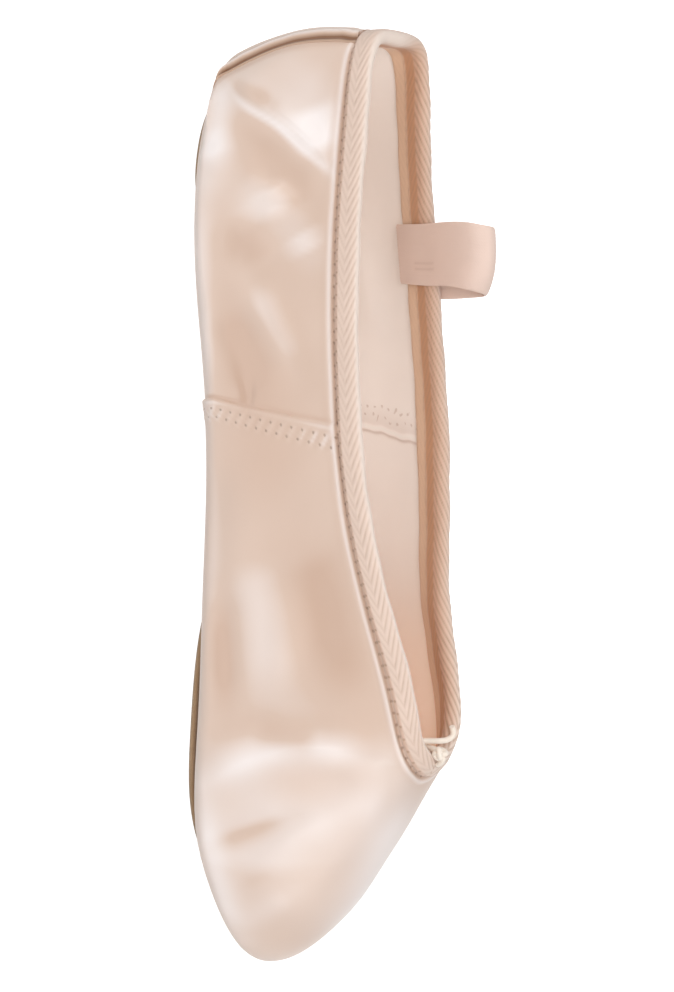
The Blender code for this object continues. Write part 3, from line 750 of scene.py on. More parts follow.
OUTSIDE_FOLDS = [
    # the quarter at the heel: a sharp crest that leans forward, with a hollow on either side
    fold([(-16, -23, 12), (-10, -24, 22), (-2, -22, 33), (7, -19, 41)], 3.0, 7.0, 2.4, 1.1, 0.5),
    fold([(-16, -24, 13), (-10, -26, 19), (-4, -24, 28), (4, -21, 36), (9, -19, 43)],
         0, 1.1, tone=0.8),
    fold([(-9, -27, 10), (-3, -26, 21), (6, -23, 32), (12, -21, 38)], -1.0, 4.5, tone=-0.5),
    fold([(-16, -22, 13), (-13, -23, 17), (-11, -23, 22), (-9, -23, 26)], -0.9, 2.0, tone=-1.0),
    fold([(-20, -15, 24), (-12, -15, 38)], 0.8, 4.5, tone=0.3),
    fold([(-6, -30, 9), (4, -31, 12)], 0.2, 5.0, tone=0.3),
    # broad painted highlights and painted shade over the whole quarter and vamp, without any height
    fold([(-10, -19, 34), (3, -20, 40)], 0, 7.5, tone=0.8),
    fold([(-18, -24, 8), (-12, -26, 11), (-2, -29, 12), (8, -31, 11)], 0, 5.0, tone=0.8),
    fold([(36, -30, 16), (60, -28, 24), (76, -28, 24), (98, -28, 24)], 0, 12.0, tone=-0.75),
    fold([(78, -30, 9), (96, -30, 9), (116, -30, 9)], -1.0, 6.0),
    fold([(-9, -26, 6), (-4, -28, 7), (2, -29, 8)], -1.3, 5.0),
    fold([(160, -25, 32), (174, -27, 22), (184, -24, 18)], 0, 15.0, tone=0.55),
    fold([(162, -4, 48), (176, 0, 40), (190, 2, 28), (200, 2, 16)], 0, 11.0, tone=0.9),
    fold([(160, -36, 8), (178, -34, 9), (192, -28, 9), (202, -20, 9)], 0, 4.5, tone=0.8),
    fold([(118, -30, 11), (128, -31, 12), (140, -31, 13)], 0, 3.0, tone=-0.8),
    fold([(102, -26, 35), (110, -25, 38), (128, -22, 42), (142, -19, 45)], 0, 7.0, tone=-1.0),
    fold([(146, -31, 21), (149, -28, 29), (150, -23, 37)], 0, 3.5, tone=-0.8),
    fold([(0, -32, 8), (60, -30, 8), (110, -31, 8), (150, -35, 8)], 0, 3.0, tone=0.5),
    # two soft swellings in the quarter and the hollows round them
    fold([(11, -29, 24), (19, -28, 29)], 1.6, 7.0, tone=0.3),
    fold([(7, -29, 20), (13, -28, 26), (21, -28, 27)], 0, 9.0, tone=0.3),
    fold([(22, -26, 34), (28, -25, 37)], 1.0, 4.5, tone=0.55),
    fold([(4, -28, 20), (10, -26, 31), (17, -24, 38)], -1.0, 4.0, tone=-0.4),
    fold([(24, -31, 15), (25, -30, 22), (31, -29, 26)], -1.1, 4.5, tone=-0.6),
    # the slanting fold before the arch seam
    fold([(34, -30, 22), (46, -28, 28), (58, -26, 34)], 1.5, 4.0, tone=0.6),
    fold([(40, -31, 14), (52, -30, 19), (63, -29, 22)], -1.3, 5.0, tone=-0.8),
    fold([(57, -29, 19), (61, -29, 20), (66, -29, 20)], -1.2, 1.5, tone=-1.2),
    fold([(10, -32, 10), (30, -33, 9), (48, -31, 9), (62, -29, 9)], 0.7, 4.0, tone=0.5),
    # the vamp: an upright band and a hollow beside it
    fold([(103, -31, 20), (118, -30, 24), (142, -31, 27)], 1.3, 7.5, tone=0.5),
    fold([(112, -32, 12), (126, -32, 13), (146, -33, 15)], -1.2, 4.5, tone=-0.7),
    fold([(108, -25, 37), (132, -25, 38)], -0.9, 6.5, tone=-0.3),
    # the curved fold over the toes, with its shadow behind and a hollow before it
    fold([(161, -34, 9), (156, -33, 20), (152, -28, 31), (152, -22, 39), (155, -14, 47)],
         2.1, 6.5, 3.6, 1.5, 0.9),
    fold([(148, -34, 12), (145, -32, 25), (146, -26, 36), (149, -17, 45)], -1.2, 4.0, tone=-0.4),
    fold([(177, -33, 10), (175, -33, 15), (173, -31, 20), (171, -30, 26), (169, -28, 31)],
         -1.6, 2.0, 3.0, tone=-0.6),
    fold([(186, -26, 15), (184, -25, 19), (182, -24, 22)], -0.2, 1.8, tone=-0.22),
    fold([(196, -18, 10), (192, -20, 17), (187, -19, 24)], 0.6, 3.5, tone=0.4),
    fold([(180, -8, 30), (186, -12, 24), (192, -10, 20)], -0.5, 4.0, tone=-0.2),
    fold([(172, -24, 28), (166, -16, 40), (165, -6, 46)], 0.6, 6.0, tone=0.4),
    # the outer side of the foot
    fold([(-15, 22, 12), (-8, 23, 24), (2, 21, 35)], 2.2, 3.0, 7.0, 1.3, 0.4),
    fold([(-8, 27, 10), (0, 25, 22), (9, 23, 33)], -1.1, 4.5, tone=-0.4),
    fold([(18, 29, 18), (25, 28, 30)], 1.5, 6.0, tone=0.7),
    fold([(34, 31, 14), (42, 29, 28)], -1.2, 5.0, tone=-0.5),
    fold([(46, 31, 16), (57, 29, 28)], 1.3, 4.5, tone=0.5),
    fold([(57, 32, 14), (63, 31, 20)], -0.9, 2.2, tone=-0.5),
    fold([(96, 33, 24), (118, 34, 21), (140, 34, 24)], 1.4, 5.5, tone=0.6),
    fold([(92, 33, 12), (118, 34, 10), (142, 34, 13)], -1.0, 5.5, tone=-0.4),
    fold([(150, 34, 9), (149, 32, 20), (150, 26, 32), (153, 17, 43)], 2.0, 3.6, 6.0, 1.5, 0.7),
    fold([(160, 31, 12), (159, 28, 22), (160, 22, 32)], -1.1, 4.0, tone=-0.4),
    fold([(182, 16, 14), (177, 18, 22), (171, 17, 30)], -1.0, 3.2, tone=-0.5),
]


# %% How a fold lies over the cloth
def raise_along(fold, points, normals):
    """How much of the fold each of the points has: 0 far away and 1 on its line."""
    line = curve_through(fold.points, 5)
    reach = 3.2 * max(fold.left, fold.right)
    near = np.all((points > line.min(0) - reach) & (points < line.max(0) + reach), axis=-1)
    found, square = points[near], normals[near]
    nearest = np.full(len(found), np.inf)
    share, width = np.zeros(len(found)), np.ones(len(found))
    for i, (a, b) in enumerate(zip(line, line[1:])):
        span = b - a
        u = np.clip((found - a) @ span / (span @ span), 0, 1)
        off = found - a - u[:, None] * span
        away = np.linalg.norm(off, axis=1)
        side = np.sum(np.cross(square, span) * off, axis=1) / np.linalg.norm(span)
        mix = smooth_step(-0.8, 0.8, side)
        closer = away < nearest
        nearest[closer] = away[closer]
        share[closer] = ((i + u) / (len(line) - 1))[closer]
        width[closer] = (fold.right + (fold.left - fold.right) * mix)[closer]
    fade = smooth_step(0, 0.3, share) * smooth_step(0, 0.3, 1 - share)
    part = np.zeros(points.shape[:-1])
    part[near] = bell(nearest, 0, width, fold.power) * (0.3 + 0.7 * fade)
    return part


def lay_folds(folds, points, normals):
    """Lift in millimetres and painted light and shade at each point, from all the folds together.
    """
    lift, tone = np.zeros(points.shape[:-1]), np.zeros(points.shape[:-1])
    for fold in folds:
        part = raise_along(fold, points, normals)
        lift += fold.height * part
        tone += fold.tone * part
    return lift, tone


print(len(OUTSIDE_FOLDS), "folds are laid over the outside")

# %% [markdown]
# ## The satin outside
#
# On the real shoe the satin is pulled over the last in two panels: a quarter round the heel and a
# front panel, whose folded edge laps over the quarter at the arch and is sewn down with two rows
# of stitches. At the toe and the heel the spare satin is pleated under the sole. The skin here
# follows the ribs of the last very closely, with more columns at the lap, and is then raised or
# lowered for the lap, the folds, the pleats and the groove that the tape's stitches pull in.

# %% Columns and rows of the skin
EDGE_BACK_LOW, EDGE_BACK_HIGH = 1.85, 3.8
FOLD_COLUMNS = tuple(np.arange(-5.0, 0.3, 0.28))
RAW_EDGE, RAW_EDGE_SLANT, RAW_EDGE_THICK = 3.1, 2.0, 0.45
RAW_EDGE_COLUMNS = tuple(np.arange(-0.6, 4.2, 0.25))
TOPLINE_ROWS = (0, 1.2, 2.4, 3.2, 3.6, 3.9, 4.15, 4.4, 4.7, 5.0, 5.35, 5.7, 6.1, 6.6, 7.1)
UNDER_ROWS = (0, 0.25, 0.45, 0.6, 0.72, 0.82, 0.9, 0.96)
EDGE_FROM, EDGE_RISE, EDGE_LEAN = 5, 45, 0.28
NOWHERE = 99.0


def dense_columns(number, close):
    """The t of each column: even, with a close group at each arch seam, in millimetres from it."""
    even = np.arange(number) / number
    group = SEAM + np.array(close) / KNOTS[-1]
    middle, half = (group[0] + group[-1]) / 2, (group[-1] - group[0]) / 2 + 0.3 / KNOTS[-1]
    even = even[(np.abs(even - middle) > half) & (np.abs(1 - even - middle) > half)]
    return np.sort(np.concatenate([even, group, 1 - group]))


def wall_lengths(ts, number=65):
    """How far below the topline a number of places on the wall are, a row for each t."""
    places = np.linspace(3, 2, number)
    points = surface(ts, places)
    steps = np.linalg.norm(np.diff(points, axis=1), axis=2)
    return places, np.hstack([np.zeros((len(points), 1)), np.cumsum(steps, axis=1)])


def below_topline(ts, distances):
    """The s that lies each distance below the topline, a row for each t."""
    ts = np.atleast_1d(ts)
    places, lengths = wall_lengths(ts)
    distances = np.broadcast_to(distances, (len(ts), np.shape(distances)[-1]))
    return np.array([np.interp(d, row, places) for d, row in zip(distances, lengths)])


def skin_rows(ts, wall_rows, corner_rows=12):
    """The s of each row, from under the foot up and close together beside the tape, and how far
    below the topline each is."""
    _, lengths = wall_lengths(ts)
    even = np.linspace(0, 1, wall_rows)[1:]
    top = TOPLINE_ROWS[-1]
    down = np.array([[*TOPLINE_ROWS, *(top + even * (row[-1] - top))] for row in lengths])
    wall = below_topline(ts, down)
    corner = 1 + np.arange(corner_rows) / corner_rows
    low = np.broadcast_to([*UNDER_ROWS, *corner], (len(ts), len(UNDER_ROWS) + corner_rows))
    ss = np.hstack([low, wall[:, ::-1]])
    return ss, np.hstack([np.full(low.shape, NOWHERE), down[:, ::-1]])


def with_back(front, back, fill=0.0):
    """The numbers of a piece's front, and one number at all the points of its back."""
    return np.hstack([front, np.full(back.shape[:2], fill)])


# %% How far the satin stands out
def ahead_of_seam(ts):
    """Distance forward of the arch seam, in millimetres; behind it is negative."""
    feet = np.array([knot(t) for t in ts])
    return np.minimum(feet - knot(SEAM), knot(1 - SEAM) - feet)


def share_up(heights):
    """How far up the wall a height is, from 0 to 1."""
    return np.clip((heights - EDGE_FROM) / EDGE_RISE, 0, 1)


def ahead_of_fold(ts, heights):
    """Distance forward of the front panel's folded edge, which slants back on its way up."""
    up = share_up(heights)
    back = EDGE_BACK_LOW + (EDGE_BACK_HIGH - EDGE_BACK_LOW) * up
    return (ahead_of_seam(ts)[:, None] + back) * (1 - EDGE_LEAN * up)


def lap_height(ahead):
    """The folded edge: a quick round rise, then a long thinning."""
    rise = np.sqrt(np.clip(1 - (1 - np.clip(ahead / LAP_ROUND, 0, 1)) ** 2, 0, 1))
    return LAP * rise * np.maximum(1 - ahead / LAP_WIDTH, LAP_LEAST)


def drape(points):
    """A gentle unevenness, as of cloth that nothing stretches."""
    x, y, z = np.moveaxis(points, -1, 0)
    return (
        0.16 * np.sin(x / 7.3 + z / 9.1 + 0.6) * np.sin(y / 11.0 + z / 6.7)
        + 0.12 * np.sin(x / 4.1 - z / 7.9 + 2.1)
        + 0.07 * np.sin(x / 2.6 + z / 3.3 + y / 5.0)
    )


PLEAT, PLEAT_DEPTH = 5.2, 0.7


def pleats(ts, ss):
    """The gathers under the toe and the heel."""
    feet = np.array([knot(t) for t in ts])[:, None]
    toe = np.abs(feet - knot(0.5))
    heel = np.minimum(feet, KNOTS[-1] - feet)
    here = 1 - np.minimum(smooth_step(45, 62, toe), smooth_step(22, 34, heel))
    ridge = np.abs(np.sin(math.pi * feet / PLEAT + 0.7 * np.sin(feet / 9.0))) ** 0.7
    at_edge = smooth_step(0.75, 1.1, ss) * (1 - smooth_step(1.15, 1.6, ss))
    return PLEAT_DEPTH * here * (ridge - 0.5) * at_edge


GROOVE_BELOW, LIP_BELOW = (4.2, 0.45), (5.4, 0.62)


def beside_tape(down):
    """The groove that the tape's stitches pull in and the lip of satin below: their height, and a
    painted highlight on the lip and painted shade in the groove.
    """
    groove, lip = bell(down, *GROOVE_BELOW), bell(down, *LIP_BELOW)
    return 0.42 * lip - 0.4 * groove, 0.55 * lip - 1.0 * groove


# %% The heel, and the way of the back strip
RAISED, DEEPEST, BACK_OF_SATIN, BACK_OF_LINING = 0.35, 0.75, -0.95, -1.0
OUT_FLAP = 3.7
STRIP_TOP_T, STRIP_FOOT_T, STRIP_FOOT_S, STRIP_BEND_S = 0.028, 0.060, 1.6, 1.75
T_OF_MM = 1 / 330
BULGE_T, SIDE_T, FLAT_T = 0.036, 0.078, 0.098
BULGE, SIDE_BULGE, FLATTENING = 1.45, 1.2, 0.8


def heel_bulge(ts, ss):
    """The heel is rounder than its last high up at the back, and flatter lower down."""
    high = bell(ts, BULGE_T, 17 * T_OF_MM, 4) * (1 - smooth_step(2.78, 2.88, ss))
    side = bell(ts, SIDE_T, 8 * T_OF_MM, 4) * bell(ss, 1.92, 0.12)
    low = bell(ts, FLAT_T, 19 * T_OF_MM, 4)
    low = low * smooth_step(1.05, 1.35, ss) * (1 - smooth_step(1.7, 1.95, ss))
    out = BULGE * bell(ss, 2.48, 0.36) - 0.35 * bell(ss, 1.98, 0.09)
    return high * out + SIDE_BULGE * side - FLATTENING * low


def strip_top():
    """The s at which the back strip ends, just under the tape."""
    return below_topline([STRIP_TOP_T], [OUT_FLAP + GAP])[0, 0]


def strip_middle(ss):
    """The t of the back strip's middle at each s: it bends to the near side on its way down."""
    left = np.clip((strip_top() - ss) / (strip_top() - STRIP_BEND_S), 0, 1)
    return STRIP_TOP_T + (STRIP_FOOT_T - STRIP_TOP_T) * left**2.6


def soft_floor(height, deepest, ease=0.2):
    """Never deeper than that, with an easy start to the limit."""
    return np.logaddexp(0, (height + deepest) / ease) * ease - deepest


# %% The skin of satin
SEWN_AT, SEWN_HALF = 3.5, 1.7
CLEAR_OF_TAPE, ON_THE_WALL, UNDER_STRIP = (4.2, 8.0), (1.45, 2.1), (1.4, 1.7)
PUCKER, PUCKER_PITCH, PUCKER_SLANT = 0.14, 2.8, 4.2


def sewn_edge(ahead, heights):
    """The puckers between the two rows of stitches, and the edge's own light and shade."""
    sewn = bell(ahead, SEWN_AT, SEWN_HALF, 4)
    ripple = np.sin(2 * math.pi * (heights / PUCKER_PITCH + ahead / PUCKER_SLANT))
    shadow = 0.5 + 1.6 * (1 - smooth_step(12, 30, heights))
    tone = 0.45 * bell(ahead, 0.9, 0.5) - shadow * bell(ahead, -0.4, 0.5)
    return PUCKER * ripple * sewn, tone + (0.2 + 0.4 * ripple) * sewn


def make_satin(material, number=600, wall_rows=74):
    """The outer skin: raised by lap, folds, pleats and bulges, and closed by its own back."""
    ts = dense_columns(number, FOLD_COLUMNS)
    ss, down = skin_rows(ts, wall_rows)
    base = surface(ts, ss)
    ahead = ahead_of_fold(ts, base[..., 2])
    normals = outward(ts, ss)
    clear, low = smooth_step(*CLEAR_OF_TAPE, down), smooth_step(*ON_THE_WALL, ss)
    lift, tone = lay_folds(OUTSIDE_FOLDS, base, normals)
    from_strip = (ts[:, None] - strip_middle(ss)) / T_OF_MM
    pucker, edge_painted_light = sewn_edge(ahead, base[..., 2])
    # painted shadow on the satin beside the back strip's near edge, and the painted light and shade
    # of the lap's edge
    tone = tone - 0.9 * bell(from_strip, 6.0, 0.9) * smooth_step(1.6, 2.1, ss) + edge_painted_light
    lip, lip_painted_light = beside_tape(down)
    height = (lift + drape(base) + RAISED) * clear * low + lip
    height += (lap_height(ahead) + pucker * clear + pleats(ts, ss)) * (ss > 0.5)
    under_strip = bell(from_strip, 0.7, 6.0, 4) * smooth_step(*UNDER_STRIP, ss)
    height = soft_floor(height, DEEPEST) * (1 - under_strip) + heel_bulge(ts[:, None], ss)
    outside = base + normals * height[..., None]
    back_rows = np.concatenate([np.linspace(3, 2, 8), [1.6, 1.25, 1.0, 0.5, 0.0]])
    back = offset(ts, back_rows, np.full((len(ts), len(back_rows)), BACK_OF_SATIN))
    grid = np.concatenate([outside, back], axis=1)
    numbers = {
        "ahead": with_back(ahead, back, -NOWHERE),
        "upright": grid[..., 2],
        "below": with_back(down, back, NOWHERE),
        "round": round_topline(ts, grid),
        "tone": with_back(tone * low * clear + lip_painted_light, back),
    }
    piece = skin("satin", material, grid, close_rows=True, **numbers)
    give_cloth_map(piece, "round", "below")
    return piece


def round_topline(ts, grid):
    """How far round the topline each t is, for every point of its column in the grid."""
    return np.broadcast_to(running_length(surface(ts, [3.0])[:, 0])[:, None], grid.shape[:2])


# %% Satin as a material
SATIN = (0.66, 0.482, 0.38)
SATIN_PAINTED_HIGHLIGHT = (0.90, 0.815, 0.785)
SATIN_PAINTED_SHADE = (0.585, 0.39, 0.285)
SATIN_WEAVE = (30.0, 30.0, 0.6, 0.25, 0.04)
HOLE_BROWN, HOLES_SHOW = (0.36, 0.22, 0.15), 0.7
HOLE_ROWS = ((2.4, 0.0), (4.5, 0.5))


def make_satin_material():
    material = new_material("satin", SATIN, 0.44, IOR=1.8, Specular_IOR_Level=0.8,
                            Sheen_Weight=0.2, Sheen_Roughness=0.35)
    base = dye(material, SATIN, 26.0, 0.03)
    # painted highlights and painted shade: the folds' crests and hollows, the lap's edge, the lip
    # and groove by the tape and the shadow beside the back strip
    base = tone_by(material, base, attribute(material, "tone"), SATIN_PAINTED_HIGHLIGHT, SATIN_PAINTED_SHADE)
    tree = material.node_tree
    at_seam = [needle_holes(material, "ahead", "upright", row, Shift=shift, Size_mm=0.42)
               for row, shift in HOLE_ROWS]
    at_tape = needle_holes(material, "below", "round", 4.1, Pitch_mm=2.9, Size_mm=0.52)
    both = math_node(tree, "MAXIMUM", *at_seam)
    all_holes = math_node(tree, "MAXIMUM", both, at_tape, clamp=True)
    tint_by(material, math_node(tree, "MULTIPLY", all_holes, HOLES_SHOW), base, HOLE_BROWN)
    cloth = weave(material, *SATIN_WEAVE)
    depth = math_node(tree, "MULTIPLY", all_holes, -1.0)
    bump(material, depth, 0.6, 0.25, cloth)
    return material


satin_finish = make_satin_material()
satin = make_satin(satin_finish)
print("satin:", count(satin), "triangles")

# %% [markdown]
# ## The lining
#
# Inside, a thin cotton lies against the satin. It shows through the opening on the far wall, where
# it hangs in a few upright folds and carries the arch seam's raw edge with loose stitches behind
# it. Its near and far halves meet under the foot, and the weld in new_piece joins them there.

# %% The lining
INSIDE_FOLDS = [
    fold([(114, 31, 20), (131, 30, 25), (147, 28, 30)], 0.9, 3.0),
    fold([(120, 30, 12), (136, 29, 17), (152, 27, 21)], -0.8, 4.5),
    fold([(20, 28, 14), (34, 28, 22), (50, 28, 26)], 0.8, 5.0),
    fold([(84, 31, 14), (98, 32, 22), (108, 31, 31)], -0.7, 5.0),
    fold([(-12, 18, 14), (-4, 20, 26)], 0.7, 4.0),
    fold([(16, -27, 16), (36, -28, 22)], 0.8, 5.0),
    fold([(90, -29, 18), (116, -30, 20)], -0.8, 5.0),
    fold([(140, -28, 16), (146, -22, 34)], 0.9, 5.0),
]


CLEAR_OF_FLAP, ON_THE_SIDE, THROAT_FROM, THROAT_TO = (8.0, 13.0), (0.9, 1.4), 105, 132


def make_lining(material, number=330, wall_rows=46):
    """The inner skin, which hangs a little away from the wall where it folds."""
    ts = dense_columns(number, RAW_EDGE_COLUMNS)
    ss, down = skin_rows(ts, wall_rows, 8)
    base = offset(ts, ss, np.full(ss.shape, -WALL))
    ahead = ahead_of_seam(ts)[:, None] + RAW_EDGE_SLANT * share_up(base[..., 2])
    ahead = ahead + 0.22 * np.sin(base[..., 2] / 1.9) + 0.12 * np.sin(base[..., 2] / 0.8)
    clear = smooth_step(*CLEAR_OF_FLAP, down) * smooth_step(*ON_THE_SIDE, ss)
    lift, _ = lay_folds(INSIDE_FOLDS, base, -outward(ts, ss))
    lift = np.maximum((lift + 0.6 * drape(base[..., [0, 2, 1]])) * clear, 0)
    drop = 1 - smooth_step(RAW_EDGE - 0.1, RAW_EDGE + 0.35, ahead)
    lift += RAW_EDGE_THICK * smooth_step(-6, -1, ahead) * drop * clear
    front = base - outward(ts, ss) * lift[..., None]
    back_rows = np.concatenate([np.linspace(3, 2, 6), [1.5, 1.0, 0.0]])
    back = offset(ts, back_rows, np.full((len(ts), len(back_rows)), BACK_OF_LINING))
    grid = np.concatenate([front, back], axis=1)
    numbers = {
        "ahead": with_back(ahead, back, NOWHERE),
        "below": with_back(down, back, NOWHERE),
        "round": round_topline(ts, grid),
        "painted_raw_edge_light": with_back(raw_edge_light_and_shade(ahead), back),
        # share of the brighter, warmer painted glow near the throat
        "deep": smooth_step(THROAT_FROM, THROAT_TO, grid[..., 0]),
    }
    piece = skin("lining", material, grid, close_rows=True, close_columns=False, **numbers)
    give_cloth_map(piece, "round", "below")
    return piece


def raw_edge_light_and_shade(ahead):
    """The cut edge of the cloth inside: a brown line of painted shadow under the raised edge, a
    pale line of painted highlight behind it, and the cloth behind the edge a little darker.
    """
    brown, pale = bell(ahead, RAW_EDGE + 0.3, 0.45), bell(ahead, RAW_EDGE - 0.9, 0.6)
    behind = smooth_step(-5, 1, ahead) * (1 - smooth_step(1, RAW_EDGE, ahead))
    return 0.4 * pale - 0.42 * brown - 0.15 * behind


# %% Lining cotton as a material
LINING, LINING_PAINTED_HIGHLIGHT = (0.95, 0.87, 0.815), (1.0, 0.95, 0.90)
PAINTED_GLOW_STRENGTH, PAINTED_GLOW, PAINTED_GLOW_AT_THROAT = 0.11, (0.38, 0.34, 0.30), (1.1, 0.6, 0.34)
THREAD_AND_SHADOW_BROWN = (0.42, 0.26, 0.18)
THREAD_ROWS = ((-3.4, 0.0), (-0.6, 0.4))
THREAD_WANDER, WANDER_SCALE, THREADS_SHOW = 4.5, 260, 0.38


def make_lining_material():
    material = new_material("lining_cotton", LINING, 0.7, Sheen_Weight=0.15, Sheen_Roughness=0.5)
    base = dye(material, LINING, 30.0, 0.04)
    tree = material.node_tree
    # painted shadow and painted highlight of the raised cut edge; the same brown also colours the
    # real stitch threads and needle holes
    base = tone_by(material, base, attribute(material, "painted_raw_edge_light"), LINING_PAINTED_HIGHLIGHT, THREAD_AND_SHADOW_BROWN)
    off = math_node(tree, "SUBTRACT", noise(tree, WANDER_SCALE), 0.5)
    off = math_node(tree, "MULTIPLY", off, THREAD_WANDER)
    across = math_node(tree, "ADD", attribute(material, "ahead"), off)
    along = math_node(tree, "ADD", attribute(material, "below"), off)
    stitches = [needle_holes(material, across, along, row, Pitch_mm=2.6, Shift=shift, Size_mm=0.6)
                for row, shift in THREAD_ROWS]
    mask = math_node(tree, "MAXIMUM", *stitches)
    mask = math_node(tree, "MULTIPLY", mask, THREADS_SHOW, clamp=True)
    tint_by(material, mask, base, THREAD_AND_SHADOW_BROWN)
    # a painted glow, brighter and warmer towards the throat, stands in for the light that bounces
    # round inside the shoe; the lining is no lamp
    glow = mix_colors(tree, attribute(material, "deep"), PAINTED_GLOW, PAINTED_GLOW_AT_THROAT)
    to_shader(material, glow, "Emission Color")
    tree.nodes["Principled BSDF"].inputs["Emission Strength"].default_value = PAINTED_GLOW_STRENGTH
    weave(material, 22.0, 22.0, 0.7, 0.35, 0.06)
    return material


lining = make_lining(make_lining_material())
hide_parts("upper")
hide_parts("upper")
print("lining:", count(lining), "triangles")

# %% [markdown]
# ## The collar tape
#
# A cotton tape with a herringbone weave is folded over the cut edge and sewn through, and the
# drawstring runs inside it. Its ribs slant one way and then the other across the tape, and they
# are large enough to cast small shadows, so they are part of the mesh. The finer threads are left
# to the material.

# %% The herringbone tape
IN_FLAP = 7.8
TOP_HEIGHT = 50.0
TAPE = 0.9
THROAT_T = 0.498
TAPE_GAP = 0.1
CORD_HOLE = 1.2
CROWN, END_PULL, HOLE_HALF = 1.9, 4.0, 1.3
HEM, HEM_DOWN, EDGE_DOWN = (13.7, 14.1), 0.25, 0.45
RIB_PITCH, RIB_LEAN, RIB_HEIGHT = 3.1, 2.3, 0.30
RIB_POINTS = [(0.0, 2.4), (2.4, 0.0), (5.5, 3.1), (10.6, -2.0), (14.0, 1.4), (17.5, -2.1)]
RIB_STRENGTH = [(0.0, 0.55), (2.2, 0.55), (2.8, 1.0), (5.0, 1.0), (5.9, 0.12), (7.8, 0.12),
                (8.6, 1.0), (10.4, 1.0), (11.0, 0.4), (13.7, 0.4), (14.1, 0.12), (17.5, 0.12)]
FAR_STRENGTH = [(0.0, 0.8), (10.4, 1.0), (11.0, 0.4), (13.7, 0.4), (14.1, 0.12), (17.5, 0.12)]


def tape_section(ts, thick, steps):
    """Points across the tape for each t, and how far across each lies; 0 is the outer edge."""
    ahead = ahead_of_fold(ts, np.array([[TOP_HEIGHT]]))[:, 0]
    clear = np.max([lap_height(ahead + shift) for shift in (-1.5, 0, 1.5)], axis=0)
    clear = np.convolve(np.pad(clear, 6, mode="wrap"), np.ones(13) / 13, mode="valid") + GAP
    outer, inner = clear + thick, np.full(len(ts), -WALL - GAP - thick)
    middle, radius = (outer + inner) / 2, (outer - inner) / 2
    out_steps, crown_steps, in_steps = steps
    down = OUT_FLAP * (1 - np.arange(out_steps) / out_steps)
    deep = IN_FLAP * (1 + np.arange(in_steps)) / in_steps
    s_out, s_in = below_topline(ts, down), below_topline(ts, deep)
    outside = offset(ts, s_out, outer[:, None] * np.ones(out_steps))
    inside = offset(ts, s_in, inner[:, None] * np.ones(in_steps))
    top, up, side = at_topline(ts)
    turn = math.pi * np.arange(crown_steps + 1) / crown_steps
    reach = middle[:, None] + radius[:, None] * np.cos(turn)
    rise = radius[:, None] * np.sin(turn)
    crown = top[:, None] + side[:, None] * reach[..., None] + up[:, None] * rise[..., None]
    across = np.concatenate([-down, CROWN * turn, CROWN * math.pi + deep]) + OUT_FLAP
    return np.concatenate([outside, crown, inside], axis=1), across


# %% Its ribs
def grid_normals(grid):
    """The direction square to a grid at each of its points."""
    normal = np.cross(np.gradient(grid, axis=0), np.gradient(grid, axis=1))
    return normal / np.maximum(np.linalg.norm(normal, axis=-1, keepdims=True), 1e-9)


def along_table(across, table):
    """The second number of a table at each place across."""
    return np.interp(across, *np.array(table).T)


def herringbone(along, across, far, heel):
    """The height of the ribs, 0 to 1; far and heel are 1 on the far side and at the heel."""
    lean = along_table(across, RIB_POINTS)
    wave = np.abs(np.cos(math.pi * (along - RIB_LEAN * lean) / RIB_PITCH)) ** 0.6
    near_part = along_table(across, RIB_STRENGTH)
    strength = near_part + (along_table(across, FAR_STRENGTH) - near_part) * far
    strength = strength * (1 - 0.75 * heel)
    return wave * strength + 0.7 * (1 - strength)


# %% The tape in one piece
def make_tape(material, number=1040, steps=(17, 26, 34)):
    """The folded tape once round the topline, with its ribs; returns its length as well."""
    ts = np.linspace(THROAT_T, THROAT_T - 1, number)
    outside, across = tape_section(ts, TAPE, steps)
    centre = outside[:, steps[0] + steps[1] // 2]
    along = running_length(centre)
    normal = grid_normals(outside)
    far = smooth_step(-2, 10, centre[:, 1])[:, None]
    heel = bell(along, along[-1] / 2, 15, 4)[:, None]
    rib_shape = herringbone(along[:, None], across[None], far, heel)
    lift = RIB_HEIGHT * (rib_shape - 0.5) - HEM_DOWN * smooth_step(*HEM, across)
    edge = np.minimum(across, across[-1] - across)
    lift = lift * smooth_step(0, 0.6, edge) - EDGE_DOWN * (1 - smooth_step(0, 0.7, edge))
    lift += 0.10 * np.sin(along[:, None] / 5.3 + across / 4.0) + 0.08 * np.sin(along[:, None] / 2.1)
    outside = outside - normal * lift[..., None] * orientation(normal, ts)
    back, _ = tape_section(ts, 0.05, (3, 6, 4))
    grid = np.concatenate([outside, back[:, ::-1]], axis=1)
    grid = grid + end_pull(grid, along, across)
    numbers = {
        "along": np.broadcast_to(along[:, None], grid.shape[:2]),
        "across": with_back(np.broadcast_to(across, (number, len(across))), back, NOWHERE),
        # the rib valleys hold painted shade, twice as dark on the far side
        "rib": with_back(1 - (1 - rib_shape) * (1 + far), back, 1.0),
        # painted highlight and painted shade across the tape
        "shade": with_back(tape_shade(across, far), back),
        # painted bounce light: a warmer colour on the far side's inner flap
        "painted_bounce_light": with_back(far * smooth_step(12.8, 14.2, across), back),
    }
    piece = skin("collar_tape", material, grid, **numbers)
    give_cloth_map(piece, "along", "across")
    return piece, along[-1]


# painted light and shade across the tape, in millimetres from its outer edge: above 0 a painted
# highlight, below it painted shade
INNER_SHADES = [(3.7, 0.3), (5.2, 0.05), (7.0, -0.35), (9.0, -0.6), (10.4, -0.7), (10.9, -0.97),
                (13.2, -0.97), (14.0, 0.25), (16.6, 0.25), (17.0, 0.9)]
NEAR_SHADES = [(0.0, -0.45), (0.5, -0.4), (0.9, -0.12), (4.9, -0.12), (5.7, 0.45), (8.0, 0.45),
               (8.8, 0.0)]


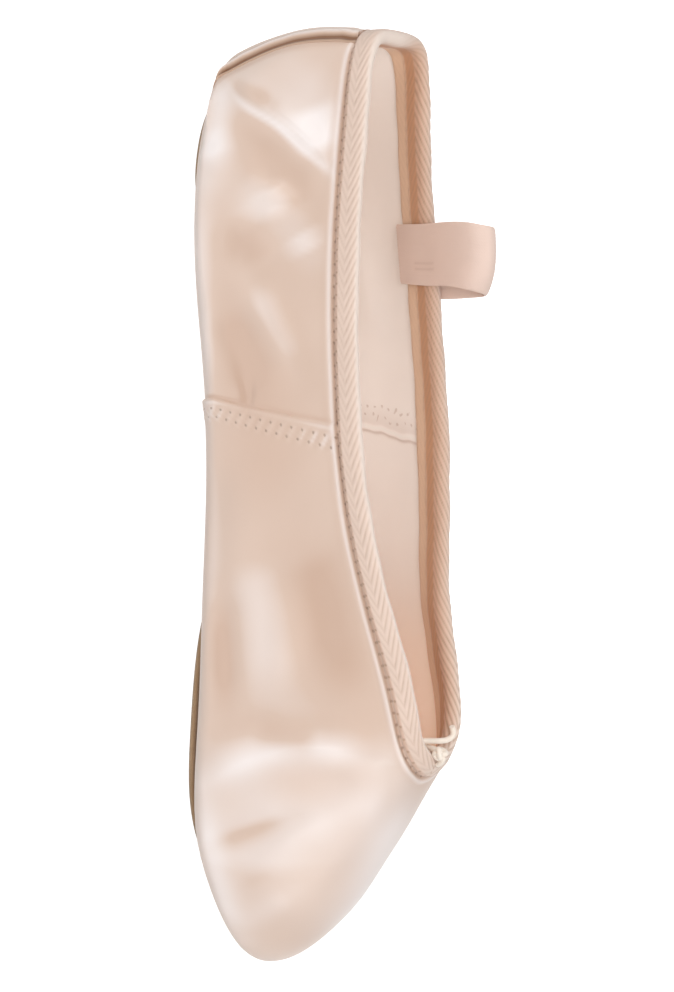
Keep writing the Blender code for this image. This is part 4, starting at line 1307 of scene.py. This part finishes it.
def tape_shade(across, far):
    """Painted highlight above 0: the near fold and the inner edge. Painted shade, browner, below
    it: the lines between, in full on the far side.
    """
    inside = smooth_step(8.5, 10.5, across)
    near = along_table(across, NEAR_SHADES) * (1 - far)
    return near + along_table(across, INNER_SHADES) * (inside + (1 - inside) * far)


def orientation(normal, ts):
    """1 where the grid's normals point into the tape and -1 where they don't."""
    out = outward(ts[:1], [2.98])[0, 0]
    return -1.0 if normal[0, 1] @ out > 0 else 1.0


def end_pull(grid, along, across):
    """Draws the two ends apart at the crown, for the drawstring, with a fine joint elsewhere."""
    back = np.linspace(across[-1], 0, grid.shape[1] - len(across))
    here = bell(np.concatenate([across, back]), OUT_FLAP + CROWN * math.pi / 2, HOLE_HALF, 4)
    gap = (TAPE_GAP + (CORD_HOLE - TAPE_GAP) * here)[:, None] / 2
    start, finish = (
        (1 - smooth_step(0, END_PULL, far))[:, None, None] for far in (along, along[-1] - along)
    )
    return (start * unit(grid[1] - grid[0]) + finish * unit(grid[-2] - grid[-1])) * gap


# %% Tape cotton as a material
TAPE_COTTON = (0.78, 0.635, 0.55)
TAPE_PAINTED_HIGHLIGHT = (0.93, 0.84, 0.77)
TAPE_VALLEY_SHADE = (0.40, 0.25, 0.16)
TAPE_PAINTED_SHADE = (0.59, 0.292, 0.156)
TAPE_BOUNCE_LIGHT = (0.95, 0.62, 0.40)
BOUNCE_LIGHT_SHOWS, VALLEY_SHADE_SHOWS, TAPE_HOLES_SHOW = 0.75, 0.48, 0.65


def make_tape_material():
    material = new_material("tape_cotton", TAPE_COTTON, 0.85, Sheen_Weight=0.2, Sheen_Roughness=0.5)
    base = dye(material, TAPE_COTTON, 12.0, 0.03)
    tree = material.node_tree
    holes = needle_holes(material, "across", "along", 0.35, Pitch_mm=2.9, Size_mm=0.45)
    # painted highlight and painted shade from the mesh's shade numbers
    base = tone_by(material, base, attribute(material, "shade"), TAPE_PAINTED_HIGHLIGHT, TAPE_PAINTED_SHADE)
    # painted, warmer bounce light on the far inner flap
    painted_bounce_light = math_node(tree, "MULTIPLY", attribute(material, "painted_bounce_light"), BOUNCE_LIGHT_SHOWS)
    base = tint_by(material, painted_bounce_light, base, TAPE_BOUNCE_LIGHT)
    # painted shade in the rib valleys
    valley_shade = math_node(tree, "SUBTRACT", 1.0, attribute(material, "rib"))
    valley_shade = math_node(tree, "MULTIPLY", valley_shade, VALLEY_SHADE_SHOWS, clamp=True)
    base = tint_by(material, valley_shade, base, TAPE_VALLEY_SHADE)
    tint_by(material, math_node(tree, "MULTIPLY", holes, TAPE_HOLES_SHOW), base, THREAD_AND_SHADOW_BROWN)
    weave(material, 24.0, 24.0, 0.8, 0.5, 0.08)
    return material


tape, tape_length = make_tape(make_tape_material())
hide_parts("topline_binding")
print("collar tape:", round(tape_length), "mm long,", count(tape), "triangles")

# %% [markdown]
# ## Soles and insoles
#
# A split sole has two suede patches, one under the ball and one under the heel, each sewn on round
# its edge. Inside, a cotton pad lies over each. Both are flat pieces with a rounded outline, so
# one helper builds them from rings that shrink from the edge to the middle.

# %% The outline of a patch
Patch = namedtuple("Patch", "name ends inset pad_ends pad_inset")
PATCHES = [
    Patch("heel", (-20.5, 20.0), 9.3, (-16.5, 18.0), 11.6),
    Patch("forefoot", (106.0, 192.5), 5.2, (110.0, 181.5), 9.0),
]
PATCH, INSOLE, SQUARENESS, PATCH_SQUARENESS = 1.5, 1.6, 0.76, 0.62
SEWN_INSET = 1.9
PAD_BOTTOM = UNDERSIDE + WALL + GAP + 0.2


def foot_line(xs, side):
    """Y of the foot line at each X, on the near side (-1) or the far one (1)."""
    places = np.linspace(0, 0.5, 200)
    feet = np.array([raw_rib(t if side < 0 else 1 - t)[:2] for t in places])
    return np.interp(xs, feet[:, 0], feet[:, 1])


def patch_outline(ends, inset, side_power=SQUARENESS, number=176):
    """A rounded outline between two X, that far inside the foot line."""
    back, front = ends
    turn = 2 * math.pi * (np.arange(number) + 0.5) / number
    c, s = np.cos(turn), np.sin(turn)
    x = (back + front) / 2 - (front - back) / 2 * np.sign(c) * np.abs(c) ** SQUARENESS
    near, far = foot_line(x, -1) + inset, foot_line(x, 1) - inset
    y = (near + far) / 2 - (far - near) / 2 * np.sign(s) * np.abs(s) ** side_power
    return np.stack([x, y], -1)


def ring(outline, inset):
    """The outline moved inwards by that much, smoothly."""
    along = unit(np.roll(outline, -1, axis=0) - np.roll(outline, 1, axis=0))
    inward_normal = np.stack([along[:, 1], -along[:, 0]], -1)
    if np.sum((outline.mean(0) - outline) * inward_normal) < 0:
        inward_normal = -inward_normal
    return outline + inward_normal * inset


# %% A pad with a rounded edge
INSETS = (0.0, 0.25, 0.7, 1.3, SEWN_INSET - 0.25, SEWN_INSET, SEWN_INSET + 0.25, 2.8, 4.0, 6.0)


def flat_piece(name, material, outline, bottom, height, top_shape, bottom_shape):
    """A thin pad: rings over the top, round the edge and back under to the middle."""
    centre = outline.mean(0)
    rings = []
    for side in (1, -1):
        flat = [ring(outline, inset) for inset in INSETS]
        last = flat[-1]
        flat += [centre + (last - centre) * k for k in (0.8, 0.6, 0.4, 0.2, 0.02)]
        shape = top_shape if side > 0 else bottom_shape
        levels = [shape(inset) for inset in INSETS] + [shape(NOWHERE)] * 5
        face = bottom + (height if side > 0 else 0)
        layer = [np.column_stack([p, np.full(len(p), face - side * z)])
                 for p, z in zip(flat, levels)]
        rings += layer[::-1] if side > 0 else layer
    piece = skin(name, material, np.array(rings))
    give_cloth_map(piece, *(np.array([v.co[:2] for v in piece.data.vertices]).T / MM))
    return piece


def rounded(edge, groove=0.0):
    """How far below the flat each distance from the edge lies."""
    def shape(inset):
        roll = edge * (1 - math.sqrt(max(0.0, 1 - (1 - min(inset / 0.9, 1)) ** 2)))
        return roll + groove * bell(inset, SEWN_INSET, 0.3)
    return shape


# %% Suede and insole cotton
SUEDE = (0.39, 0.25, 0.14)
COTTON = (0.80, 0.64, 0.53)


def make_suede_material():
    material = new_material("sole_suede", SUEDE, 0.95, Sheen_Weight=0.4, Sheen_Roughness=0.6)
    dye(material, SUEDE, 9.0, 0.10, 0.5)
    bump(material, noise(material.node_tree, 1800, 4), 0.8, 0.25)
    return material


def make_insole_material():
    material = new_material("insole_cotton", COTTON, 0.8, Sheen_Weight=0.2, Sheen_Roughness=0.5)
    dye(material, COTTON, 15.0, 0.03)
    weave(material, 14.0, 14.0, 0.8, 0.5, 0.1)
    return material


suede, insole_cotton = make_suede_material(), make_insole_material()
for patch in PATCHES:
    edge = patch_outline(patch.ends, patch.inset, PATCH_SQUARENESS)
    sole = flat_piece("sole_" + patch.name, suede, edge, 0, PATCH,
                      rounded(0.45), rounded(0.6, 0.35))
    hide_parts("outsole_" + patch.name)
    edge = patch_outline(patch.pad_ends, patch.pad_inset)
    pad = flat_piece("pad_" + patch.name, insole_cotton, edge, PAD_BOTTOM, INSOLE,
                     rounded(0.9, 0.35), rounded(0.3))
    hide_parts("insole_" + patch.name)
    print(patch.name, "sole and pad:", count(sole) + count(pad), "triangles")

# %% [markdown]
# ## The strip over the back seam
#
# The quarter is closed by a seam up the back of the heel. A folded strip of the same satin covers
# it. Along its near edge the fold stands up as a round ridge, with the stitches sunk in a groove
# beside it, and the whole strip bends to the near side on its way down.

# %% The back strip
STRIP_WIDTH, STRIP_BACK, STRIP_LENGTH = 9.0, 3.75, 50
STRIP_THINS = (1.75, 2.0)
FLAT, RIDGE, WELT, SUNK = 1.05, 0.4, 0.35, 0.14
PINCH, PINCHES, UNDER = 0.06, 34, 0.2
BAND_AT, RIDGE_AT, GROOVE_AT, WELT_AT = 3.9, 6.0, 7.7, 8.6


def strip_profile(across):
    """How high the strip stands at each place across it: flat, ridge, groove and sewn edge."""
    flat = FLAT * smooth_step(-0.3, 0.9, across) * (1 - smooth_step(6.6, 7.5, across))
    return flat + RIDGE * bell(across, RIDGE_AT, 0.9) + WELT * bell(across, WELT_AT, 0.35) - SUNK


def make_back_strip(material, rows=170, columns=46):
    """The strip from the sole up to the tape, one profile for each row."""
    share = np.linspace(0, 1, rows)
    ss = STRIP_FOOT_S + (strip_top() - STRIP_FOOT_S) * share
    across = np.linspace(0, STRIP_WIDTH, columns)
    profile = strip_profile(across)
    sections = []
    for s, m in zip(ss, strip_middle(ss)):
        pace = np.linalg.norm(surface([m + 0.002], [s]) - surface([m - 0.002], [s])) / 0.004
        ts = m + (across - STRIP_BACK) / pace
        pinch = PINCH * math.sin(s * PINCHES) * bell(across, RIDGE_AT, 1.8)
        bulge = heel_bulge(ts, s)
        height = (profile + pinch) * smooth_step(*STRIP_THINS, s) + GAP + bulge
        out = offset(ts, [s], height[:, None])[:, 0]
        under = offset(ts, [s], (bulge - UNDER)[:, None])[:, 0]
        sections.append(np.concatenate([out, under[::-1]]))
    both = np.concatenate([across, across[::-1]])
    piece = skin("back_strip", material, np.array(sections),
                 along=np.repeat(share * STRIP_LENGTH, 2 * columns), across=np.tile(both, rows),
                 tone=np.outer(smooth_step(*STRIP_THINS, ss), strip_light_and_shade(both)))
    give_cloth_map(piece, "along", "across")
    return piece


def strip_light_and_shade(across):
    """Painted highlight on the ridge, painted shadow in the groove, and painted shade, a little
    brown, on the flat behind.
    """
    light, band = bell(across, RIDGE_AT + 0.3, 1.0), bell(across, BAND_AT, 1.1)
    groove, near_groove = bell(across, GROOVE_AT + 0.1, 0.75), bell(across, GROOVE_AT, 0.9)
    return 0.65 * light - 0.2 * band - 1.6 * groove - 0.25 * near_groove


# %% The strip's satin
# the strip is the same satin as the rest, but browner: painted shade, as the strip faces away from
# the light
STRIP_SATIN_IN_SHADE = (0.60, 0.41, 0.30)
STRIP_SHADOW_AND_STITCH = (0.20, 0.08, 0.025)


def make_strip_material():
    material = new_material("strip_satin_in_painted_shade", STRIP_SATIN_IN_SHADE, 0.42,
                            Specular_IOR_Level=0.8, Sheen_Weight=0.2)
    base = dye(material, STRIP_SATIN_IN_SHADE, 10.0, 0.04)
    # painted highlight, shadow and shade of the strip's ridge, groove and flat; the shadow colour
    # also darkens the stitches
    base = tone_by(material, base, attribute(material, "tone"), SATIN_PAINTED_HIGHLIGHT, STRIP_SHADOW_AND_STITCH)
    stitches = needle_holes(material, "across", "along", GROOVE_AT + 0.1, Pitch_mm=2.4, Size_mm=0.5)
    stitches = math_node(material.node_tree, "MULTIPLY", stitches, 0.6)
    tint_by(material, stitches, base, STRIP_SHADOW_AND_STITCH)
    weave(material, *SATIN_WEAVE)
    return material


strip = make_back_strip(make_strip_material())
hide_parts("back_seam_strip")
print("back strip:", count(strip), "triangles")

# %% [markdown]
# ## The elastic loop
#
# A wide elastic holds the shoe to the instep. It comes out of the collar on the outer side, turns
# over in a round fold and goes back in a little further forward. Its fine cords run along it.

# %% The elastic
ELASTIC, ELASTIC_WIDTH, ELASTIC_X = 1.1, 16.0, 26.0
LOOP_HEIGHT, LOOP_RADIUS = 22.5, 4.2
SEWN_IN, SEWN_OUT, SKEW, CORNER = 8.4, 10.0, 5.0, 4.4
CORDS, CORD_HEIGHT, EDGE_THIN = 20, 0.12, 0.55
BOX, BOX_AT, BOX_TONE = (5.5, 13.0), (2.2, 3.7), 0.6


def elastic_path():
    """Height over the topline, distance outward of the wall, and skew, point by point."""
    inside, outside = -WALL - GAP - ELASTIC / 2, GAP + ELASTIC / 2
    on_tape_in, on_tape_out = inside - TAPE - GAP, outside + TAPE + GAP + 0.1
    rows = [(h, on_tape_in, 0.0) for h in (-SEWN_IN, -6.0, -3.0, 0.0, 3.0)]
    middle, reach = (on_tape_in + on_tape_out) / 2, LOOP_RADIUS
    turn_at = LOOP_HEIGHT - reach - ELASTIC / 2
    rows += [(turn_at * 0.6, middle - reach - 0.3, -0.8)]
    for i in range(7):
        up, out = reach * math.sin(math.pi * i / 6), reach * math.cos(math.pi * i / 6)
        rows.append((turn_at + up, middle - out, 0.5 * i - 0.5))
    rows += [(turn_at * 0.6, middle + reach + 0.3, 3.0), (2.0, on_tape_out, 3.8)]
    rows += [(h, on_tape_out, 4.0) for h in (-1.0, -4.0, -OUT_FLAP - 0.4)]
    return rows + [(-OUT_FLAP - 1.6, outside, SKEW), (-SEWN_OUT, outside, SKEW)]


def far_t(xs):
    """The rib on the far side whose topline is at each X."""
    places = np.linspace(0.55, 0.999, 300)[::-1]
    return np.interp(xs, [raw_rib(t)[2] for t in places], places)


# %% The band along its path
def beside_topline(ts, heights, outs):
    """Points height over the topline (or below it, along the wall) and out from the wall."""
    heights, outs = np.broadcast_to(heights, ts.shape), np.broadcast_to(outs, ts.shape)
    ss = np.array([below_topline([t], [max(-h, 0.0)])[0, 0] for t, h in zip(ts, heights)])
    top, up, side = at_topline(ts)
    on_wall = np.array([offset([t], [s], [[o]])[0, 0] for t, s, o in zip(ts, ss, outs)])
    over = top + side * outs[:, None] + up * heights[:, None]
    return np.where(heights[:, None] <= 0, on_wall, over)


def soften(path, times=60):
    """The same path with its bends eased; both ends stay where they are."""
    for _ in range(times):
        path[1:-1] += 0.5 * ((path[:-2] + path[2:]) / 2 - path[1:-1])
    return path


def make_elastic(material, columns=49):
    """The elastic along its path, corded on both faces; returns its length as well."""
    path = soften(curve_through(elastic_path(), 8))
    flat = path[:, :2]
    ahead = np.gradient(flat, axis=0)
    square = unit(np.stack([-ahead[:, 1], ahead[:, 0]], -1))
    across = np.linspace(-0.5, 0.5, columns)
    length = running_length(flat)
    cords = 0.5 + 0.5 * np.cos(2 * math.pi * across * CORDS)
    both = np.concatenate([across, across[::-1]]) * ELASTIC_WIDTH
    edge = 1 - smooth_step(0.47, 0.5, np.abs(across))
    sections = []
    for (height, side, skew), normal in zip(path, square):
        skins = []
        for face in (1, -1):
            thick = (ELASTIC / 2 - CORD_HEIGHT * (1 - cords)) * (EDGE_THIN + (1 - EDGE_THIN) * edge)
            h = height + normal[0] * face * thick
            h = h - CORNER * (across + 0.5) ** 3 * smooth_step(0, LOOP_HEIGHT, h)
            out = side + normal[1] * face * thick
            xs = ELASTIC_X + skew + ELASTIC_WIDTH * across
            skins.append(beside_topline(far_t(xs), h, out))
        sections.append(np.concatenate([skins[0], skins[1][::-1]]))
    start, end = (smooth_step(place, place + 0.6, length) for place in BOX)
    box = BOX_TONE * sum(bell(both, a, 0.35) for a in BOX_AT) * (start * (1 - end))[:, None]
    piece = skin("elastic", material, np.array(sections), sewn=box,
                 along=np.broadcast_to(length[:, None], box.shape),
                 across=np.broadcast_to(both, box.shape))
    give_cloth_map(piece, "along", "across")
    return piece, length[-1]


# %% The elastic's material
ELASTIC_PINK = (0.77, 0.585, 0.50)
STITCH_PINK = (0.52, 0.33, 0.26)


def make_elastic_material():
    material = new_material("elastic", ELASTIC_PINK, 0.55,
                            Specular_IOR_Level=0.6, Sheen_Weight=0.15)
    base = dye(material, ELASTIC_PINK, 14.0, 0.03)
    sewn = math_node(material.node_tree, "MULTIPLY", attribute(material, "sewn"), 0.5, clamp=True)
    tint_by(material, sewn, base, STITCH_PINK)
    weave(material, 16.0, 12.5, 0.5, 0.5, 0.08)
    return material


elastic, elastic_length = make_elastic(make_elastic_material())
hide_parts("elastic_loop")
print("elastic:", round(elastic_length), "mm of it,", count(elastic), "triangles")

# %% [markdown]
# ## The drawstring
#
# The drawstring is one soft elastic cord that runs all round inside the tape. What shows is where
# it comes out at the throat: it rises, bends to the side, passes through its own small knot and
# ends. A curve with a round bevel is the natural way to make it, because its centre line is then
# exactly the line that was drawn.

# %% The cord and its knot
CORD = 1.5
ROUTE = [
    (0.5, 0.0, 2.1), (-0.2, -0.6, 3.5), (-1.2, -1.2, 4.3), (-2.4, -1.6, 3.7), (-3.4, -1.5, 2.4),
    (-3.8, -0.7, 0.2), (-4.4, -0.5, -1.8), (-4.9, -1.3, -3.5), (-5.4, -2.7, -3.8),
    (-5.6, -3.4, -2.3), (-5.6, -2.3, -0.6), (-5.5, -0.2, 0.7), (-5.4, 2.2, 1.7),
    (-5.5, 4.3, 2.4), (-6.2, 5.9, 3.0), (-7.5, 6.2, 3.3), (-8.9, 5.4, 3.4),
]
KNOT_AT, STEPS = 3, 4
KNOT_SIZE, KNOT_TUBE = (0.49, 0.49, 0.95), 0.68
CORD_COLOR = (0.86, 0.76, 0.66)


def make_cord_material():
    material = new_material("cord", CORD_COLOR, 0.75, Sheen_Weight=0.25, Sheen_Roughness=0.5)
    dye(material, CORD_COLOR, 5.0, 0.04)
    bump(material, noise(material.node_tree, 2200), 0.6, 0.15)
    return material


# %% Round cords
def tube(name, material, line, radius, closed=False):
    """A curve with a round bevel through points in millimetres."""
    curve = bpy.data.curves.new(name, "CURVE")
    curve.dimensions, curve.bevel_depth = "3D", radius * MM
    curve.bevel_resolution, curve.use_fill_caps = 4, not closed
    spline = curve.splines.new("POLY")
    spline.points.add(len(line) - 1)
    for point, place in zip(spline.points, line):
        point.co = (*(Vector(place) * MM), 1)
    spline.use_cyclic_u = closed
    curve.materials.append(material)
    piece = bpy.data.objects.new(name, curve)
    bpy.context.scene.collection.objects.link(piece)
    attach(piece, "root")
    return piece


def knot_line(turns=64):
    """A trefoil, the shape an overhand knot pulls up into."""
    a = np.linspace(0, 2 * math.pi, turns, endpoint=False)
    x, y = np.sin(a) + 2 * np.sin(2 * a), np.cos(a) - 2 * np.cos(2 * a)
    return np.stack([x, y, -np.sin(3 * a)], -1)


throat = surface([THROAT_T], [3.0])[0, 0]
cord_line = curve_through([throat + q for q in ROUTE], STEPS)
cord_finish = make_cord_material()
drawstring = tube("drawstring_cord", cord_finish, cord_line, CORD / 2)
middle = KNOT_AT * STEPS
ahead = Vector(cord_line[middle + 3] - cord_line[middle - 3])
turn = np.array(ahead.to_track_quat("Z", "Y").to_matrix())
knot_points = cord_line[middle] + (knot_line() * KNOT_SIZE) @ turn.T
cord_knot = tube("cord_knot", cord_finish, knot_points, KNOT_TUBE, closed=True)
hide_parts("drawstring")
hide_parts("drawstring_knot")
print("the drawstring shows", round(running_length(cord_line)[-1], 1), "mm of cord")
